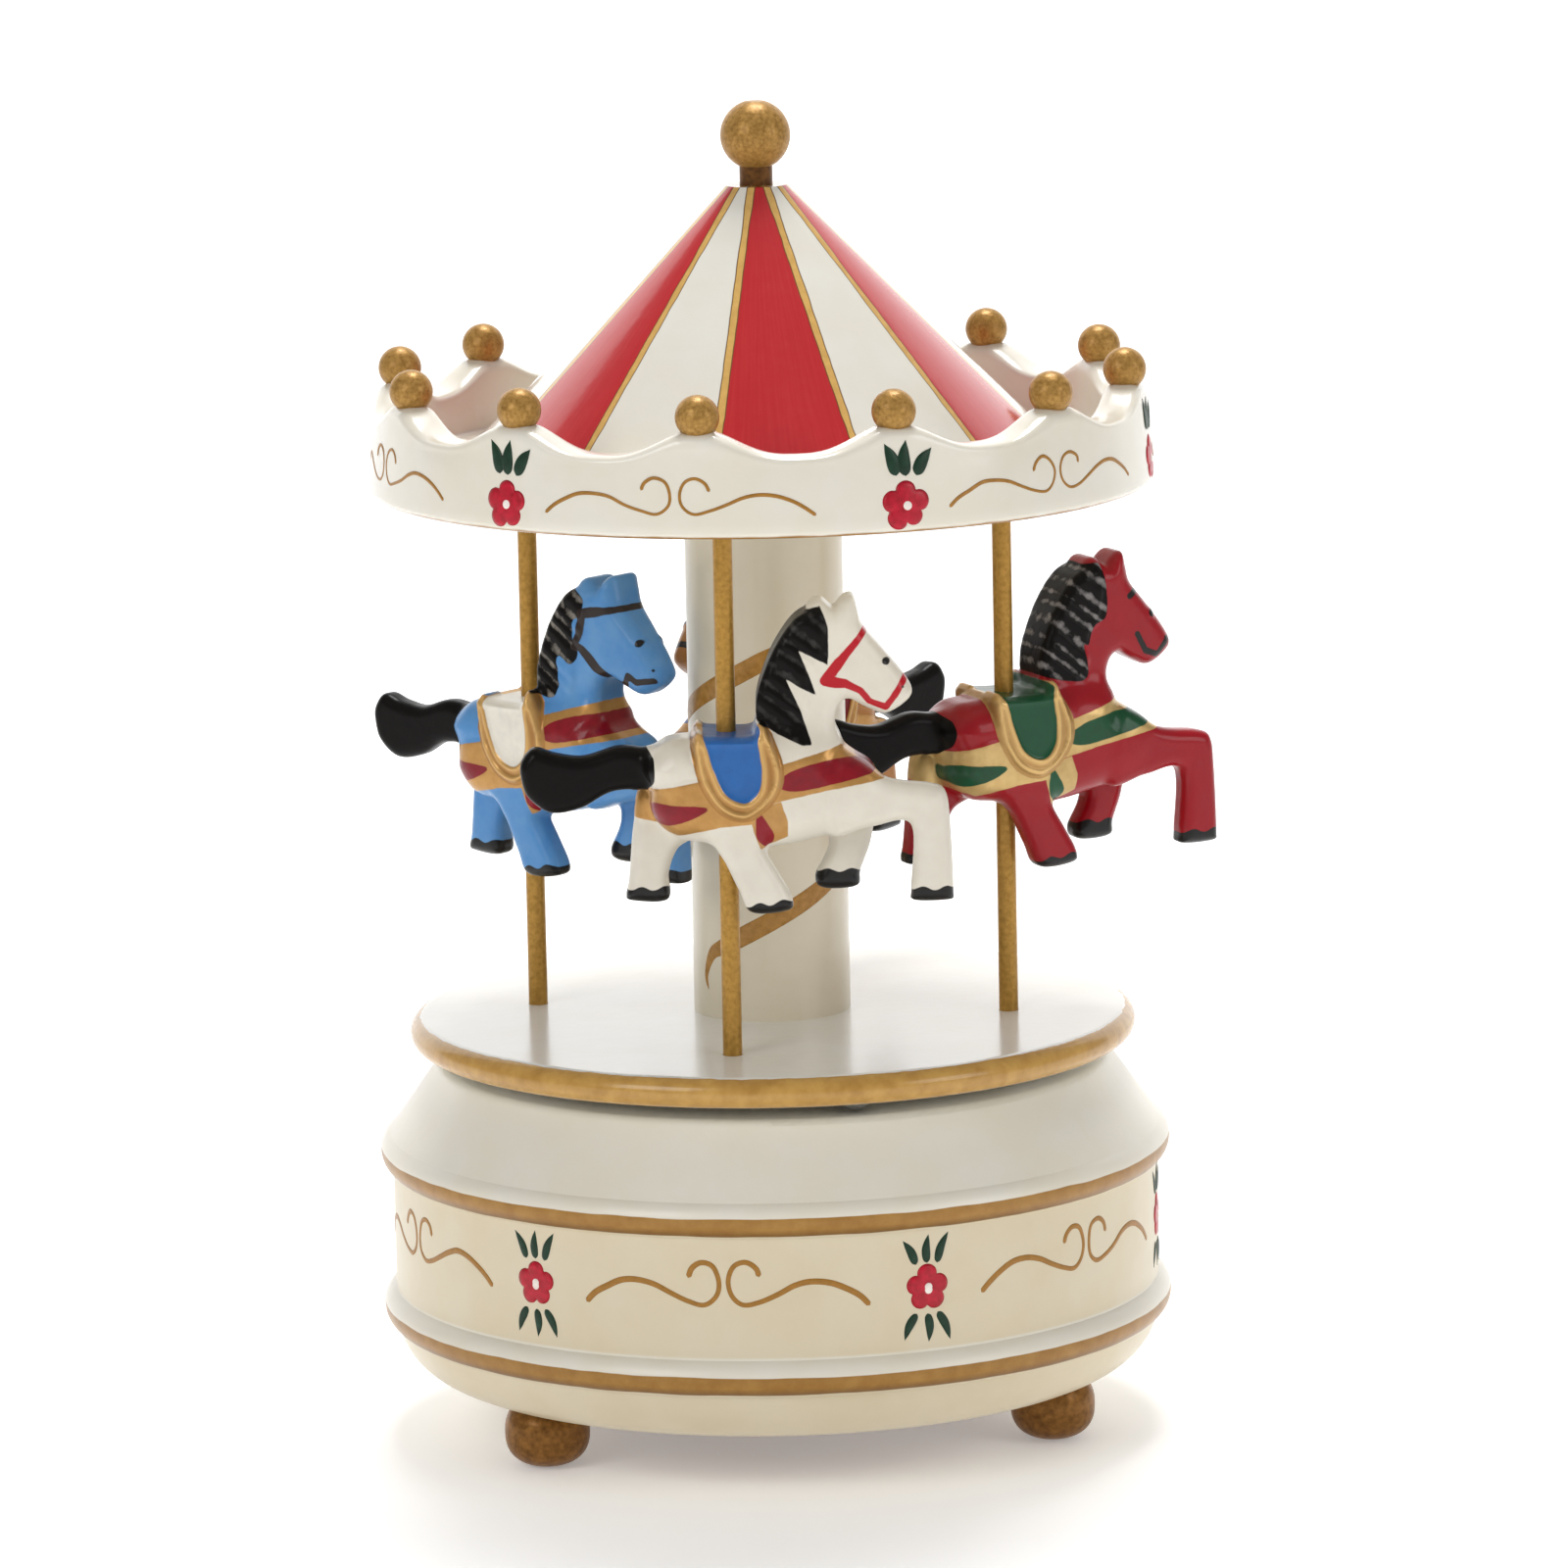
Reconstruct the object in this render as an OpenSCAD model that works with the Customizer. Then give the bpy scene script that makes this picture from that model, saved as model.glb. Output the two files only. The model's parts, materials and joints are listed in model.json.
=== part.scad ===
// Carousel music box: a turned wooden base on three ball feet holds a wound
// musical movement; its winding arbor carries a round platform, a column, a
// scalloped canopy with a cone roof, and four moulded horses on turning poles.
// Millimetres, +Z up, origin on the table under the middle of the base.

/* [Base] */
// diameter over the two ring mouldings of the turned base
base_diameter = 104; // [96:1:130]
// height of the turned base without its feet
base_height = 41.4; // [38:0.2:52]
// radius of the two half-round ring mouldings
ring_radius = 2.6; // [2:0.1:3.2]
// how far the wall stands back from the ring mouldings
wall_setback = 1.6; // [1:0.1:2.2]
// height of the upper ring's middle below the base's top
cornice_drop = 11.6; // [10:0.1:13]
// height of the lower ring's middle above the base's underside
plinth_rise = 9.15; // [8.8:0.05:11]
// radius of the round under the lower ring
bowl_radius = 8; // [6:0.1:8.6]
// run of the sloped shoulder for each millimetre of rise
shoulder_run = 0.707; // [0.5:0.01:0.8]
// radius on the top edge of the shoulder
shoulder_round = 1.6; // [1:0.1:2.5]
// thickness of the deck that the movement hangs from
deck_thickness = 6; // [4:0.5:8]
// diameter of the cavity turned from below
cavity_diameter = 59.2; // [59:0.2:64]
// diameter of the hole for the hub in the deck
deck_hole_diameter = 8; // [7.4:0.2:10]
// diameter of the bottom cover
cover_diameter = 67.2; // [66:0.2:70]
// thickness of the bottom cover
cover_thickness = 2; // [1.5:0.1:3]

/* [Feet] */
// diameter of a ball foot
foot_diameter = 11.1; // [9:0.1:12]
// height that the feet lift the base off the table
foot_lift = 8; // [6.6:0.1:8.8]
// radius of the circle that the feet stand on
foot_circle = 38.5; // [38.4:0.1:40.5]
// diameter of a foot's dowel
foot_dowel_diameter = 3; // [2:0.1:4]

/* [Platform] */
// diameter of the turning platform
platform_diameter = 95.4; // [84:0.2:120]
// thickness of the platform
platform_thickness = 4; // [3.6:0.1:6]
// gap between the base's top and the platform
platform_gap = 2; // [1.8:0.1:4]
// free height between the platform and the canopy
bay_height = 69.6; // [64:0.2:90]
// diameter of a glide's domed head
glide_diameter = 5.2; // [4:0.1:6]
// radius of the circle of glides
glide_circle = 41; // [36:0.1:41.4]
// gap between a glide and the base's top
glide_clearance = 0.35; // [0.3:0.05:0.6]

/* [Column and poles] */
// diameter of the middle column
column_diameter = 20.6; // [14:0.1:23]
// diameter of the column's tenons
tenon_diameter = 8; // [5:0.1:9]
// length of the column's tenons
tenon_length = 1.7; // [1.2:0.1:2]
// diameter of a horse pole
pole_diameter = 2.5; // [2:0.1:3.4]
// radius of the circle of poles
pole_circle = 31.4; // [29:0.1:38]
// depth that a pole stands in its socket
socket_depth = 2.4; // [1.5:0.1:2.8]
// running clearance round a turning pole or shaft
running_clearance = 0.06; // [0.04:0.01:0.1]

/* [Canopy] */
// diameter of the canopy over the lower edge of its rim
canopy_diameter = 102.2; // [90:0.2:130]
// thickness of the canopy floor
floor_thickness = 4; // [3.2:0.1:6]
// height of the rim at its peaks
rim_height = 13.3; // [11:0.1:18]
// depth of the scallops
scallop_depth = 2.3; // [1:0.1:3]
// thickness of the rim
rim_wall = 5.2; // [4.6:0.1:6]
// how far the rim leans in over its height
rim_lean = 0.7; // [0:0.1:1.5]
// diameter of a bead on the rim
bead_diameter = 5.6; // [4:0.1:6]
// diameter of the cone roof at its foot
roof_diameter = 77.4; // [60:0.2:80]
// height of the cone roof
roof_height = 35.1; // [25:0.1:45]
// diameter of the small flat on top of the roof
roof_flat_diameter = 8.8; // [7:0.1:12]
// diameter of the ball finial
finial_diameter = 9.1; // [7:0.1:14]
// diameter of the finial's neck
neck_diameter = 4.3; // [3:0.1:6]
// height of the neck that shows under the ball
neck_height = 1.9; // [1:0.1:4]

/* [Horses] */
// thickness of a horse's barrel
horse_thickness = 12; // [10:0.1:13]
// thickness of a horse's neck and head
neck_thickness = 7.2; // [6:0.1:9]
// thickness of a leg
leg_thickness = 4.3; // [3.5:0.1:5]
// height of the white horse's lowest hoof over the platform
white_height = 19.3; // [8:0.1:24]
// height of the blue horse's lowest hoof over the platform
blue_height = 18.4; // [8:0.1:24]
// height of the red horse's lowest hoof over the platform
red_height = 19.5; // [8:0.1:24]
// height of the tan horse's lowest hoof over the platform
tan_height = 16.6; // [8:0.1:24]

/* [Movement] */
// thickness of the cast bedplate
bedplate_thickness = 2; // [1.5:0.1:3]
// diameter of the winding arbor
arbor_diameter = 3.5; // [3:0.1:4]
// diameter of the spring barrel
barrel_diameter = 16; // [12:0.1:16]
// height of the spring barrel
barrel_height = 9.4; // [7:0.1:10]
// radius of the pinned cylinder
cylinder_radius = 5.6; // [5:0.1:5.8]
// number of teeth in the comb
comb_teeth = 14; // [10:1:15]
// diameter of the drive flange under the platform
flange_diameter = 18; // [16:0.2:24]

/* [Hidden] */
$fn = 96;
e = 0.02;
base_r = base_diameter / 2;
wall_r = base_r - wall_setback;
z_base = foot_lift;
z_deck_top = z_base + base_height;
z_deck = z_deck_top - deck_thickness;
z_ring_hi = z_deck_top - cornice_drop;
z_ring_lo = z_base + plinth_rise;
z_plat = z_deck_top + platform_gap;
z_top = z_plat + platform_thickness;
z_can = z_top + bay_height;
z_floor = z_can + floor_thickness;
z_rim = z_can + rim_height;
z_roof = z_floor + roof_height;
can_r = canopy_diameter / 2;
rim_top_r = can_r - rim_lean;
rim_in = rim_top_r - rim_wall;
bead_circle = rim_top_r - rim_wall / 2;
bead_z = z_rim - 1 + bead_diameter / 2;
// a bead's flat sits in a shallow round seat sunk into its peak
z_seat = z_rim - 0.5;
seat_r = sqrt(pow(bead_diameter / 2, 2) - pow(bead_z - z_rim, 2));
// every pole, bead and painted panel lines up with this bearing
phase = -99.5;
glue = 0.05;
cavity_r = cavity_diameter / 2;
cover_r = cover_diameter / 2;
cover_ledge = cover_r - cavity_r;
cover_screw_circle = cavity_r + cover_ledge / 2;
// slack round the cover in its rebate
cover_slack = 0.25;
pole_r = pole_diameter / 2;
arbor_r = arbor_diameter / 2;
z_bed = z_deck - bedplate_thickness;
// lines of the movement: the horizontal shafts lie at z_shaft
wheel_r = 7.4;
wheel_teeth = 36;
pinion_teeth = 12;
pinion_r = 2.5;
z_wheel = z_bed - barrel_height - 0.6;
wheel_body = 1.6;
wheel_crown = 1.3;
z_shaft = z_wheel - wheel_body - wheel_crown + 0.65 - pinion_r;
shaft_r = 0.9;
gov_y = -7.5;
gov_r = 0.6;
worm_x = 9.1;
worm_y = -12.7;
worm_r = 0.9;
pin_rise = 0.4;

module at(r, a, z = 0) rotate([0, 0, a]) translate([r, 0, z]) children();
module rod(r, z0, z1) translate([0, 0, z0]) cylinder(r = r, h = z1 - z0);
module along_x(x0, x1, r) translate([x0, 0, 0]) rotate([0, 90, 0])
  cylinder(r = r, h = x1 - x0);

// ---------------------------------------------------------------- base
module base_profile() {
  sx = base_r - ring_radius * 0.46;
  sz = z_ring_hi + ring_radius * 0.8;
  cz = z_deck_top - shoulder_round;
  a = atan(shoulder_run);
  tz = cz + shoulder_round * sin(a);
  cx = sx - (tz - sz) * shoulder_run - shoulder_round * cos(a);
  polygon([[0, z_base], [wall_r - bowl_radius, z_base],
    [wall_r, z_base + bowl_radius], [wall_r, z_ring_hi], [sx, sz],
    [cx + shoulder_round * cos(a), tz], [cx, z_deck_top], [0, z_deck_top]]);
  intersection() {
    translate([wall_r - bowl_radius, z_base + bowl_radius]) circle(bowl_radius);
    translate([0, z_base]) square([wall_r, bowl_radius]);
  }
  translate([cx, cz]) circle(shoulder_round);
  for (z = [z_ring_hi, z_ring_lo])
    translate([base_r - ring_radius, z]) circle(ring_radius);
}
module base_shell() color([0.93, 0.91, 0.84]) difference() {
  rotate_extrude() intersection() {
    base_profile();
    translate([0, z_base]) square([base_r + 1, base_height]);
  }
  rod(cavity_r, z_base - 1, z_deck);
  rod(cover_r + cover_slack, z_base - 1, z_base + cover_thickness);
  rod(deck_hole_diameter / 2, z_deck - 1, z_deck_top + 1);
  for (k = [0 : 2]) {
    at(foot_circle, foot_bearing + 120 * k)
      rod(foot_dowel_diameter / 2 + glue, z_base - 1, z_base + foot_dowel + 0.3);
    at(cover_screw_circle, foot_bearing + 60 + 120 * k)
      rod(0.9, z_base, z_base + cover_thickness + 6.2);
  }
  for (s = [-1, 1]) translate([-6, s * 11.5, 0]) rod(0.9, z_deck - 1, z_deck + 4.2);
}
foot_bearing = -142;
foot_dowel = 6;
module base_cover() color([0.62, 0.47, 0.30]) difference() {
  rod(cover_r, z_base, z_base + cover_thickness);
  for (k = [0 : 2]) at(cover_screw_circle, foot_bearing + 60 + 120 * k)
    rod(0.9, z_base - 1, z_base + cover_thickness + 1);
  for (k = [0 : 5]) at(16, foot_bearing + 60 * k) {
    rod(1.6, z_base - 1, z_base + cover_thickness + 1);
    translate([4, 0, 0]) rod(1.6, z_base - 1, z_base + cover_thickness + 1);
    translate([0, -1.6, z_base - 1]) cube([4, 3.2, cover_thickness + 2]);
  }
}
module cover_screw(k) color([0.75, 0.75, 0.77])
  at(cover_screw_circle, foot_bearing + 60 + 120 * k) {
    difference() {
      rod(1.7, z_base - 0.9, z_base);
      translate([-2, -0.25, z_base - 1]) cube([4, 0.5, 0.5]);
    }
    rod(0.9, z_base, z_base + cover_thickness + 6);
  }
module foot(k) color([0.62, 0.42, 0.20]) at(foot_circle, foot_bearing + 120 * k) {
  r = foot_diameter / 2;
  intersection() {
    translate([0, 0, sqrt(r * r - pow(r * 0.49, 2))]) sphere(r);
    rod(r + 1, 0, foot_lift);
  }
  rod(foot_dowel_diameter / 2, foot_lift - e, foot_lift + foot_dowel);
}

// ------------------------------------------------------------ movement
module bedplate() color([0.72, 0.72, 0.70]) difference() {
  union() {
    translate([-12, -15, z_bed]) cube([34, 30, bedplate_thickness]);
    translate([22 - e, -8, z_bed]) cube([6.2 + e, 16, bedplate_thickness]);
    for (x = [8.4, 26.6]) {
      translate([x, -2.6, z_shaft]) cube([1.4, 5.2, z_bed - z_shaft + e]);
      translate([0, 0, z_shaft]) along_x(x, x + 1.4, 2.6);
    }
    translate([11, 11.6, z_shaft + 0.6]) cube([11, 3.4, z_bed - z_shaft - 0.6 + e]);
  }
  rod(arbor_r + running_clearance, z_bed - 1, z_deck + 1);
  translate([0, 0, z_shaft]) along_x(8, 28.4, shaft_r + running_clearance);
  for (s = [-1, 1]) translate([-6, s * 11.5, 0]) rod(0.9, z_bed - 1, z_deck + 1);
  for (x = [13.5, 19.5]) translate([x, 13.3, 0]) rod(0.7, z_shaft, z_shaft + 5.2);
}
module movement_screw(s) color([0.75, 0.75, 0.77]) translate([-6, s * 11.5, 0]) {
  difference() {
    rod(1.8, z_bed - 1.1, z_bed);
    translate([-2, -0.25, z_bed - 1.2]) cube([4, 0.5, 0.6]);
  }
  rod(0.9, z_bed - e, z_deck + 4);
}
module spring_barrel() color([0.80, 0.66, 0.35]) difference() {
  rod(barrel_diameter / 2, z_bed - barrel_height, z_bed);
  rod(barrel_diameter / 2 - 0.8, z_bed - barrel_height + 0.8, z_bed + 1);
  rod(arbor_r + running_clearance, z_bed - barrel_height - 1, z_bed);
}
module mainspring() color([0.45, 0.47, 0.52]) difference() {
  rod(barrel_diameter / 2 - 0.8, z_bed - barrel_height + 0.8, z_bed - 1.2);
  rod(arbor_r + 1.2, z_bed - barrel_height, z_bed);
  for (r = [4, 5, 6]) difference() {
    rod(r + 0.35, z_bed - barrel_height + 2, z_bed);
    rod(r, z_bed - barrel_height + 1, z_bed + 1);
  }
}
module comb() color([0.70, 0.72, 0.76]) difference() {
  union() {
    translate([10.6, 11.6, z_shaft - 0.6]) cube([13.6, 3.4, 1.2]);
    for (k = [0 : comb_teeth - 1])
      translate([10.6 + 13.6 * (k + 0.14) / comb_teeth,
                 cylinder_radius + pin_rise + 0.2, z_shaft - 0.3])
        cube([13.6 / comb_teeth * 0.72,
              11.6 + e - cylinder_radius - pin_rise - 0.2, 0.6]);
  }
  for (x = [13.5, 19.5]) translate([x, 13.3, 0]) rod(0.7, z_shaft - 1, z_shaft + 1);
}
module comb_screw(x) color([0.75, 0.75, 0.77]) translate([x, 13.3, 0]) {
  rod(1.3, z_shaft - 1.4, z_shaft - 0.6);
  rod(0.7, z_shaft - 0.6 - e, z_shaft + 5);
}
module governor_frame() color([0.66, 0.66, 0.64]) difference() {
  union() {
    translate([6.4, -14.6, z_bed - 2]) cube([16.8, 8, 2]);
    for (x = [6.4, 10.8, 22.2]) translate([x, -14.6, z_shaft - 6])
      cube([1, 8, z_bed - z_shaft + 4.1]);
    for (z = [z_shaft - 6, z_shaft + 6]) translate([6.4, -14.6, z])
      cube([5.4, 3.4, 1.2]);
  }
  translate([0, gov_y, z_shaft]) along_x(6, 24, gov_r + running_clearance);
  translate([worm_x, worm_y, 0]) rod(0.6 + running_clearance, z_shaft - 7, z_shaft + 8);
}
module winding_arbor() color([0.72, 0.72, 0.74])
  rod(arbor_r, z_wheel - wheel_body - 1.4, z_plat + 1.6);
module great_wheel() color([0.80, 0.66, 0.35]) difference() {
  union() {
    rod(wheel_r, z_wheel - wheel_body, z_wheel);
    for (k = [0 : wheel_teeth - 1]) rotate([0, 0, (k + 0.5) * 360 / wheel_teeth])
      translate([wheel_r - 1.3, -0.21, z_wheel - wheel_body - wheel_crown])
        cube([1.25, 0.42, wheel_crown + e]);
  }
  rod(arbor_r, z_wheel - wheel_body - 3, z_wheel + 1);
}
module gear(x0, x1, root, tip, n, w, turn) {
  along_x(x0, x1, root);
  for (k = [0 : n - 1]) rotate([turn + k * 360 / n, 0, 0])
    translate([x0, -w / 2, root - 0.1]) cube([x1 - x0, w, tip - root + 0.1]);
}
module cylinder_shaft() color([0.72, 0.72, 0.74]) translate([0, 0, z_shaft]) {
  along_x(5.6, 28.4, shaft_r);
  gear(6.2, 7.3, pinion_r - 0.8, pinion_r, pinion_teeth, 0.34, 0);
}
module cylinder_drum() color([0.82, 0.70, 0.40]) translate([0, 0, z_shaft])
  difference() {
    union() {
      along_x(10.4, 24.4, cylinder_radius);
      for (k = [0 : 27]) rotate([k * 360 / 28 * 5, 0, 0])
        translate([10.6 + 13.6 * (k % comb_teeth + 0.5) / comb_teeth, 0, 0])
          cylinder(r = 0.2, h = cylinder_radius + pin_rise);
    }
    along_x(9, 26, shaft_r);
  }
module cylinder_wheel() color([0.80, 0.66, 0.35]) translate([0, 0, z_shaft])
  difference() {
    gear(24.9, 26, 5.6, 6.2, 40, 0.32, 4.5);
    along_x(24, 27, shaft_r);
  }
module governor_shaft() color([0.72, 0.72, 0.74])
  translate([0, gov_y, z_shaft]) {
    along_x(6.1, 26.3, gov_r);
    gear(24.9, 26, 1.1, 1.7, 10, 0.32, 18);
  }
module governor_wheel() color([0.80, 0.66, 0.35])
  translate([0, gov_y, z_shaft]) difference() {
    gear(worm_x - 0.7, worm_x + 0.7, 3.6, 4, 30, 0.4, 6);
    along_x(worm_x - 1, worm_x + 1, gov_r);
  }
module fan_shaft() color([0.72, 0.72, 0.74]) translate([worm_x, worm_y, 0]) {
  rod(0.6, z_shaft - 11, z_shaft + 7.4);
  rod(worm_r, z_shaft - 3.6, z_shaft + 3.6);
}
module fan_vane() color([0.80, 0.66, 0.35]) translate([worm_x, worm_y, 0])
  difference() {
    union() {
      rod(1.2, z_shaft - 10.6, z_shaft - 7);
      translate([-3.8, -0.2, z_shaft - 10.6]) cube([7.6, 0.4, 3.6]);
    }
    rod(0.6, z_shaft - 12, z_shaft - 6);
  }

// ---------------------------------------------------- turning assembly
flange_thickness = 1.3;
flange_screw_circle = flange_diameter / 2 - 2.6;
module drive_flange() color([0.74, 0.74, 0.76]) difference() {
  union() {
    rod(flange_diameter / 2, z_plat - flange_thickness, z_plat);
    rod(deck_hole_diameter / 2 - 0.8, z_plat - flange_thickness - 2.6, z_plat - e);
  }
  rod(arbor_r, z_deck, z_top);
  for (k = [0 : 2]) at(flange_screw_circle, 120 * k, z_plat - flange_thickness)
    union() {
      cylinder(r1 = 1.6, r2 = 0.8, h = 0.8);
      cylinder(r = 0.8, h = 2);
    }
}
module flange_screw(k) color([0.75, 0.75, 0.77])
  at(flange_screw_circle, 120 * k, z_plat - flange_thickness) {
    difference() {
      cylinder(r1 = 1.6, r2 = 0.8, h = 0.8);
      translate([-2, -0.2, -0.1]) cube([4, 0.4, 0.4]);
    }
    cylinder(r = 0.8, h = flange_thickness + 2.2);
  }
glide_head = platform_gap - glide_clearance;
glide_bearing = -75.4;
module glide(k) color([0.78, 0.79, 0.80]) at(glide_circle, glide_bearing + 120 * k) {
  r = glide_diameter / 2;
  s = (r * r + glide_head * glide_head) / (2 * glide_head);
  intersection() {
    translate([0, 0, z_plat - glide_head + s]) sphere(s);
    rod(r + 1, z_plat - glide_head - 1, z_plat);
  }
  rod(0.7, z_plat - e, z_plat + 2.4);
}
module platform() color([0.95, 0.94, 0.91]) difference() {
  rotate_extrude() {
    translate([0, z_plat])
      square([platform_diameter / 2 - platform_thickness / 2, platform_thickness]);
    translate([platform_diameter / 2 - platform_thickness / 2,
               z_plat + platform_thickness / 2]) circle(platform_thickness / 2);
  }
  rod(arbor_r + glue, z_plat - 1, z_plat + 1.7);
  rod(tenon_diameter / 2 + glue, z_top - tenon_length - 0.1, z_top + 1);
  for (k = [0 : 3]) at(pole_circle, phase + 90 * k)
    rod(pole_r + running_clearance, z_top - socket_depth - 0.2, z_top + 1);
  for (k = [0 : 2]) {
    at(glide_circle, glide_bearing + 120 * k) rod(0.7 + glue, z_plat - 1, z_plat + 2.5);
    at(flange_screw_circle, 120 * k) rod(0.8, z_plat - 1, z_plat + 2.2);
  }
}
module column() color([0.93, 0.91, 0.85]) {
  rod(column_diameter / 2, z_top, z_can);
  rod(tenon_diameter / 2, z_top - tenon_length, z_top + e);
  rod(tenon_diameter / 2, z_can - e, z_can + tenon_length);
}
module canopy() color([0.93, 0.89, 0.82]) {
  // a little over half a scallop's span, so that neighbours meet in a ridge
  chord = rim_top_r * sin(15) * 1.03;
  rho = (chord * chord + scallop_depth * scallop_depth) / (2 * scallop_depth);
  difference() {
    rotate_extrude() difference() {
      polygon([[0, z_can], [can_r - 0.8, z_can], [can_r, z_can + 0.8],
        [rim_top_r, z_rim], [rim_in, z_rim], [rim_in, z_floor], [0, z_floor]]);
    }
    for (k = [0 : 11]) {
      rotate([0, 0, phase + 15 + 30 * k])
        translate([rim_in - 2, 0, z_rim - scallop_depth + rho]) rotate([0, 90, 0])
          cylinder(r = rho, h = rim_wall + 6, $fn = 360);
      at(bead_circle, phase + 30 * k) rod(seat_r + glue, z_seat, z_rim + 4);
      at(bead_circle, phase + 30 * k)
        rod(0.6 + glue, bead_z - bead_diameter / 2 - 2.6, bead_z);
    }
    for (k = [0 : 3]) at(pole_circle, phase + 90 * k)
      rod(pole_r + running_clearance, z_can - 1, z_can + socket_depth + 0.2);
    rod(tenon_diameter / 2 + glue, z_can - 1, z_can + tenon_length + 0.1);
  }
}
module crown_bead(k) color([0.78, 0.62, 0.30])
  at(bead_circle, phase + 30 * (k - 1), bead_z) {
    intersection() {
      sphere(bead_diameter / 2);
      translate([0, 0, z_seat - bead_z]) cylinder(r = bead_diameter, h = bead_diameter);
    }
    translate([0, 0, -bead_diameter / 2 - 2.5]) cylinder(r = 0.6, h = 3.2);
  }
module cone_roof() color([0.80, 0.20, 0.18]) difference() {
  rotate_extrude() polygon([[0, z_floor], [roof_diameter / 2, z_floor],
    [roof_diameter / 2, z_floor + 0.6], [roof_flat_diameter / 2, z_roof - 0.4],
    [roof_flat_diameter / 2 - 0.4, z_roof], [0, z_roof]]);
  rod(1.4 + glue, z_roof - 6.2, z_roof + 1);
}
ball_z = z_roof + neck_height + finial_diameter / 2;
module finial_neck() color([0.35, 0.24, 0.12]) {
  rod(1.4, z_roof - 6, z_roof + e);
  rod(neck_diameter / 2, z_roof, z_roof + neck_height + 1.2);
}
module finial_ball() color([0.78, 0.62, 0.30]) difference() {
  intersection() {
    translate([0, 0, ball_z]) sphere(finial_diameter / 2);
    rod(finial_diameter, z_roof, ball_z + finial_diameter * 0.48);
  }
  rod(neck_diameter / 2, z_roof, z_roof + neck_height + 1.2);
}

// --------------------------------------------------------- poles, horses
module pole() color([0.72, 0.50, 0.22])
  rod(pole_r, z_top - socket_depth, z_can + socket_depth);
// side outlines of the moulded horse: X forward from the pole, Y up from the
// lowest hoof
barrel = [[-9.6, 15.9], [-10.6, 19.0], [-8.4, 21.6], [-5.2, 22.4], [4.4, 22.6],
  [9, 23.4], [13.6, 22.2], [14.8, 20.4], [18.4, 18.4], [19.6, 14.6],
  [17.6, 11.2], [10.5, 9.0], [3.7, 8.0], [-2.4, 8.8], [-6.6, 9.6], [-9.4, 12.6]];
crest = [[9.6, 18], [4.6, 22.4], [4.1, 27.0], [5.2, 31.2], [7.0, 34.6],
  [9.6, 37.3], [12.3, 38.8], [14.1, 40.0], [15.9, 39.4], [16.9, 35.8],
  [19.9, 33.4], [22.5, 30.2], [23.8, 27.8], [22.9, 26.2], [20.3, 24.9],
  [17.9, 25.8], [15.5, 27.0], [14.1, 25.6], [13.8, 22.0], [15, 18]];
fore_near = [[14.4, 19.6], [20.6, 16.9], [26.0, 16.1], [27.8, 15.0],
  [28.3, 11.0], [28.6, 2.2], [28.2, 1.2], [23.5, 1.2], [23.2, 2.6], [23.3, 11.0],
  [18.2, 10.8], [13, 10.2]];
fore_far = [[13, 13], [18.6, 13], [18.3, 8.0], [16.9, 4.0], [16.4, 1.9],
  [12.1, 1.7], [11.1, 3.3], [12.9, 7.2]];
hind_near = [[-2.6, 11], [-1.6, 8.4], [-0.4, 6.4], [1.2, 2.9], [2.8, 0],
  [7.5, 0.2], [8.0, 1.7], [6.4, 4.8], [4.6, 8.0], [3.6, 11]];
hind_far = [[-10.4, 15.6], [-12, 11.0], [-12.8, 3.4], [-13.2, 1.4], [-12.6, 0.6],
  [-7.9, 0.6], [-7.7, 4.1], [-6.5, 7.2], [-4.2, 9.0], [-3.2, 13]];
tail = [[-8.6, 20.4], [-11.2, 21.0], [-14, 21.2], [-18.2, 20.0], [-21.7, 20.4],
  [-24.6, 21.2], [-26.2, 19.4], [-26.3, 17.4], [-25.4, 14.8], [-22.5, 12.8],
  [-18.6, 13.4], [-14.7, 15.4], [-9.0, 16.2]];
saddle = [[-4.6, 22.6], [-3.2, 23.2], [2.6, 22.9], [4.2, 24.0], [5.6, 22.8],
  [6.2, 18.0], [4.4, 14.6], [1.2, 13.2], [-2.0, 14.2], [-4.0, 17.4]];
module slab(points, y, t) translate([0, y + t / 2, 0]) rotate([90, 0, 0])
  linear_extrude(t) polygon(points);
module horse(lift, tint) color(tint) translate([0, 0, z_top + lift])
  difference() {
    union() {
      intersection() {
        slab(barrel, 0, horse_thickness);
        translate([0, 0, 5]) linear_extrude(20) polygon([
          [-12, -2.6], [-9.6, -horse_thickness / 2 + 1], [-6, -horse_thickness / 2],
          [10, -horse_thickness / 2], [16, -horse_thickness / 2 + 1.2], [21, -2.6],
          [21, 2.6], [16, horse_thickness / 2 - 1.2], [10, horse_thickness / 2],
          [-6, horse_thickness / 2], [-9.6, horse_thickness / 2 - 1], [-12, 2.6]]);
      }
      intersection() {
        slab(crest, 0, neck_thickness);
        translate([0, 0, 14]) linear_extrude(30) polygon([
          [2, -neck_thickness / 2], [15, -neck_thickness / 2], [24.5, -2.2],
          [24.5, 2.2], [15, neck_thickness / 2], [2, neck_thickness / 2]]);
      }
      slab(fore_near, -horse_thickness / 2 + leg_thickness / 2 + 0.3, leg_thickness);
      slab(fore_far, horse_thickness / 2 - leg_thickness / 2 - 0.3, leg_thickness);
      slab(hind_near, -horse_thickness / 2 + leg_thickness / 2 + 0.3, leg_thickness);
      slab(hind_far, horse_thickness / 2 - leg_thickness / 2 - 0.3, leg_thickness);
      slab(tail, 0, 3.6);
      slab(saddle, 0, horse_thickness + 1.2);
    }
    rod(pole_r, 2, 30);
  }
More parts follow.
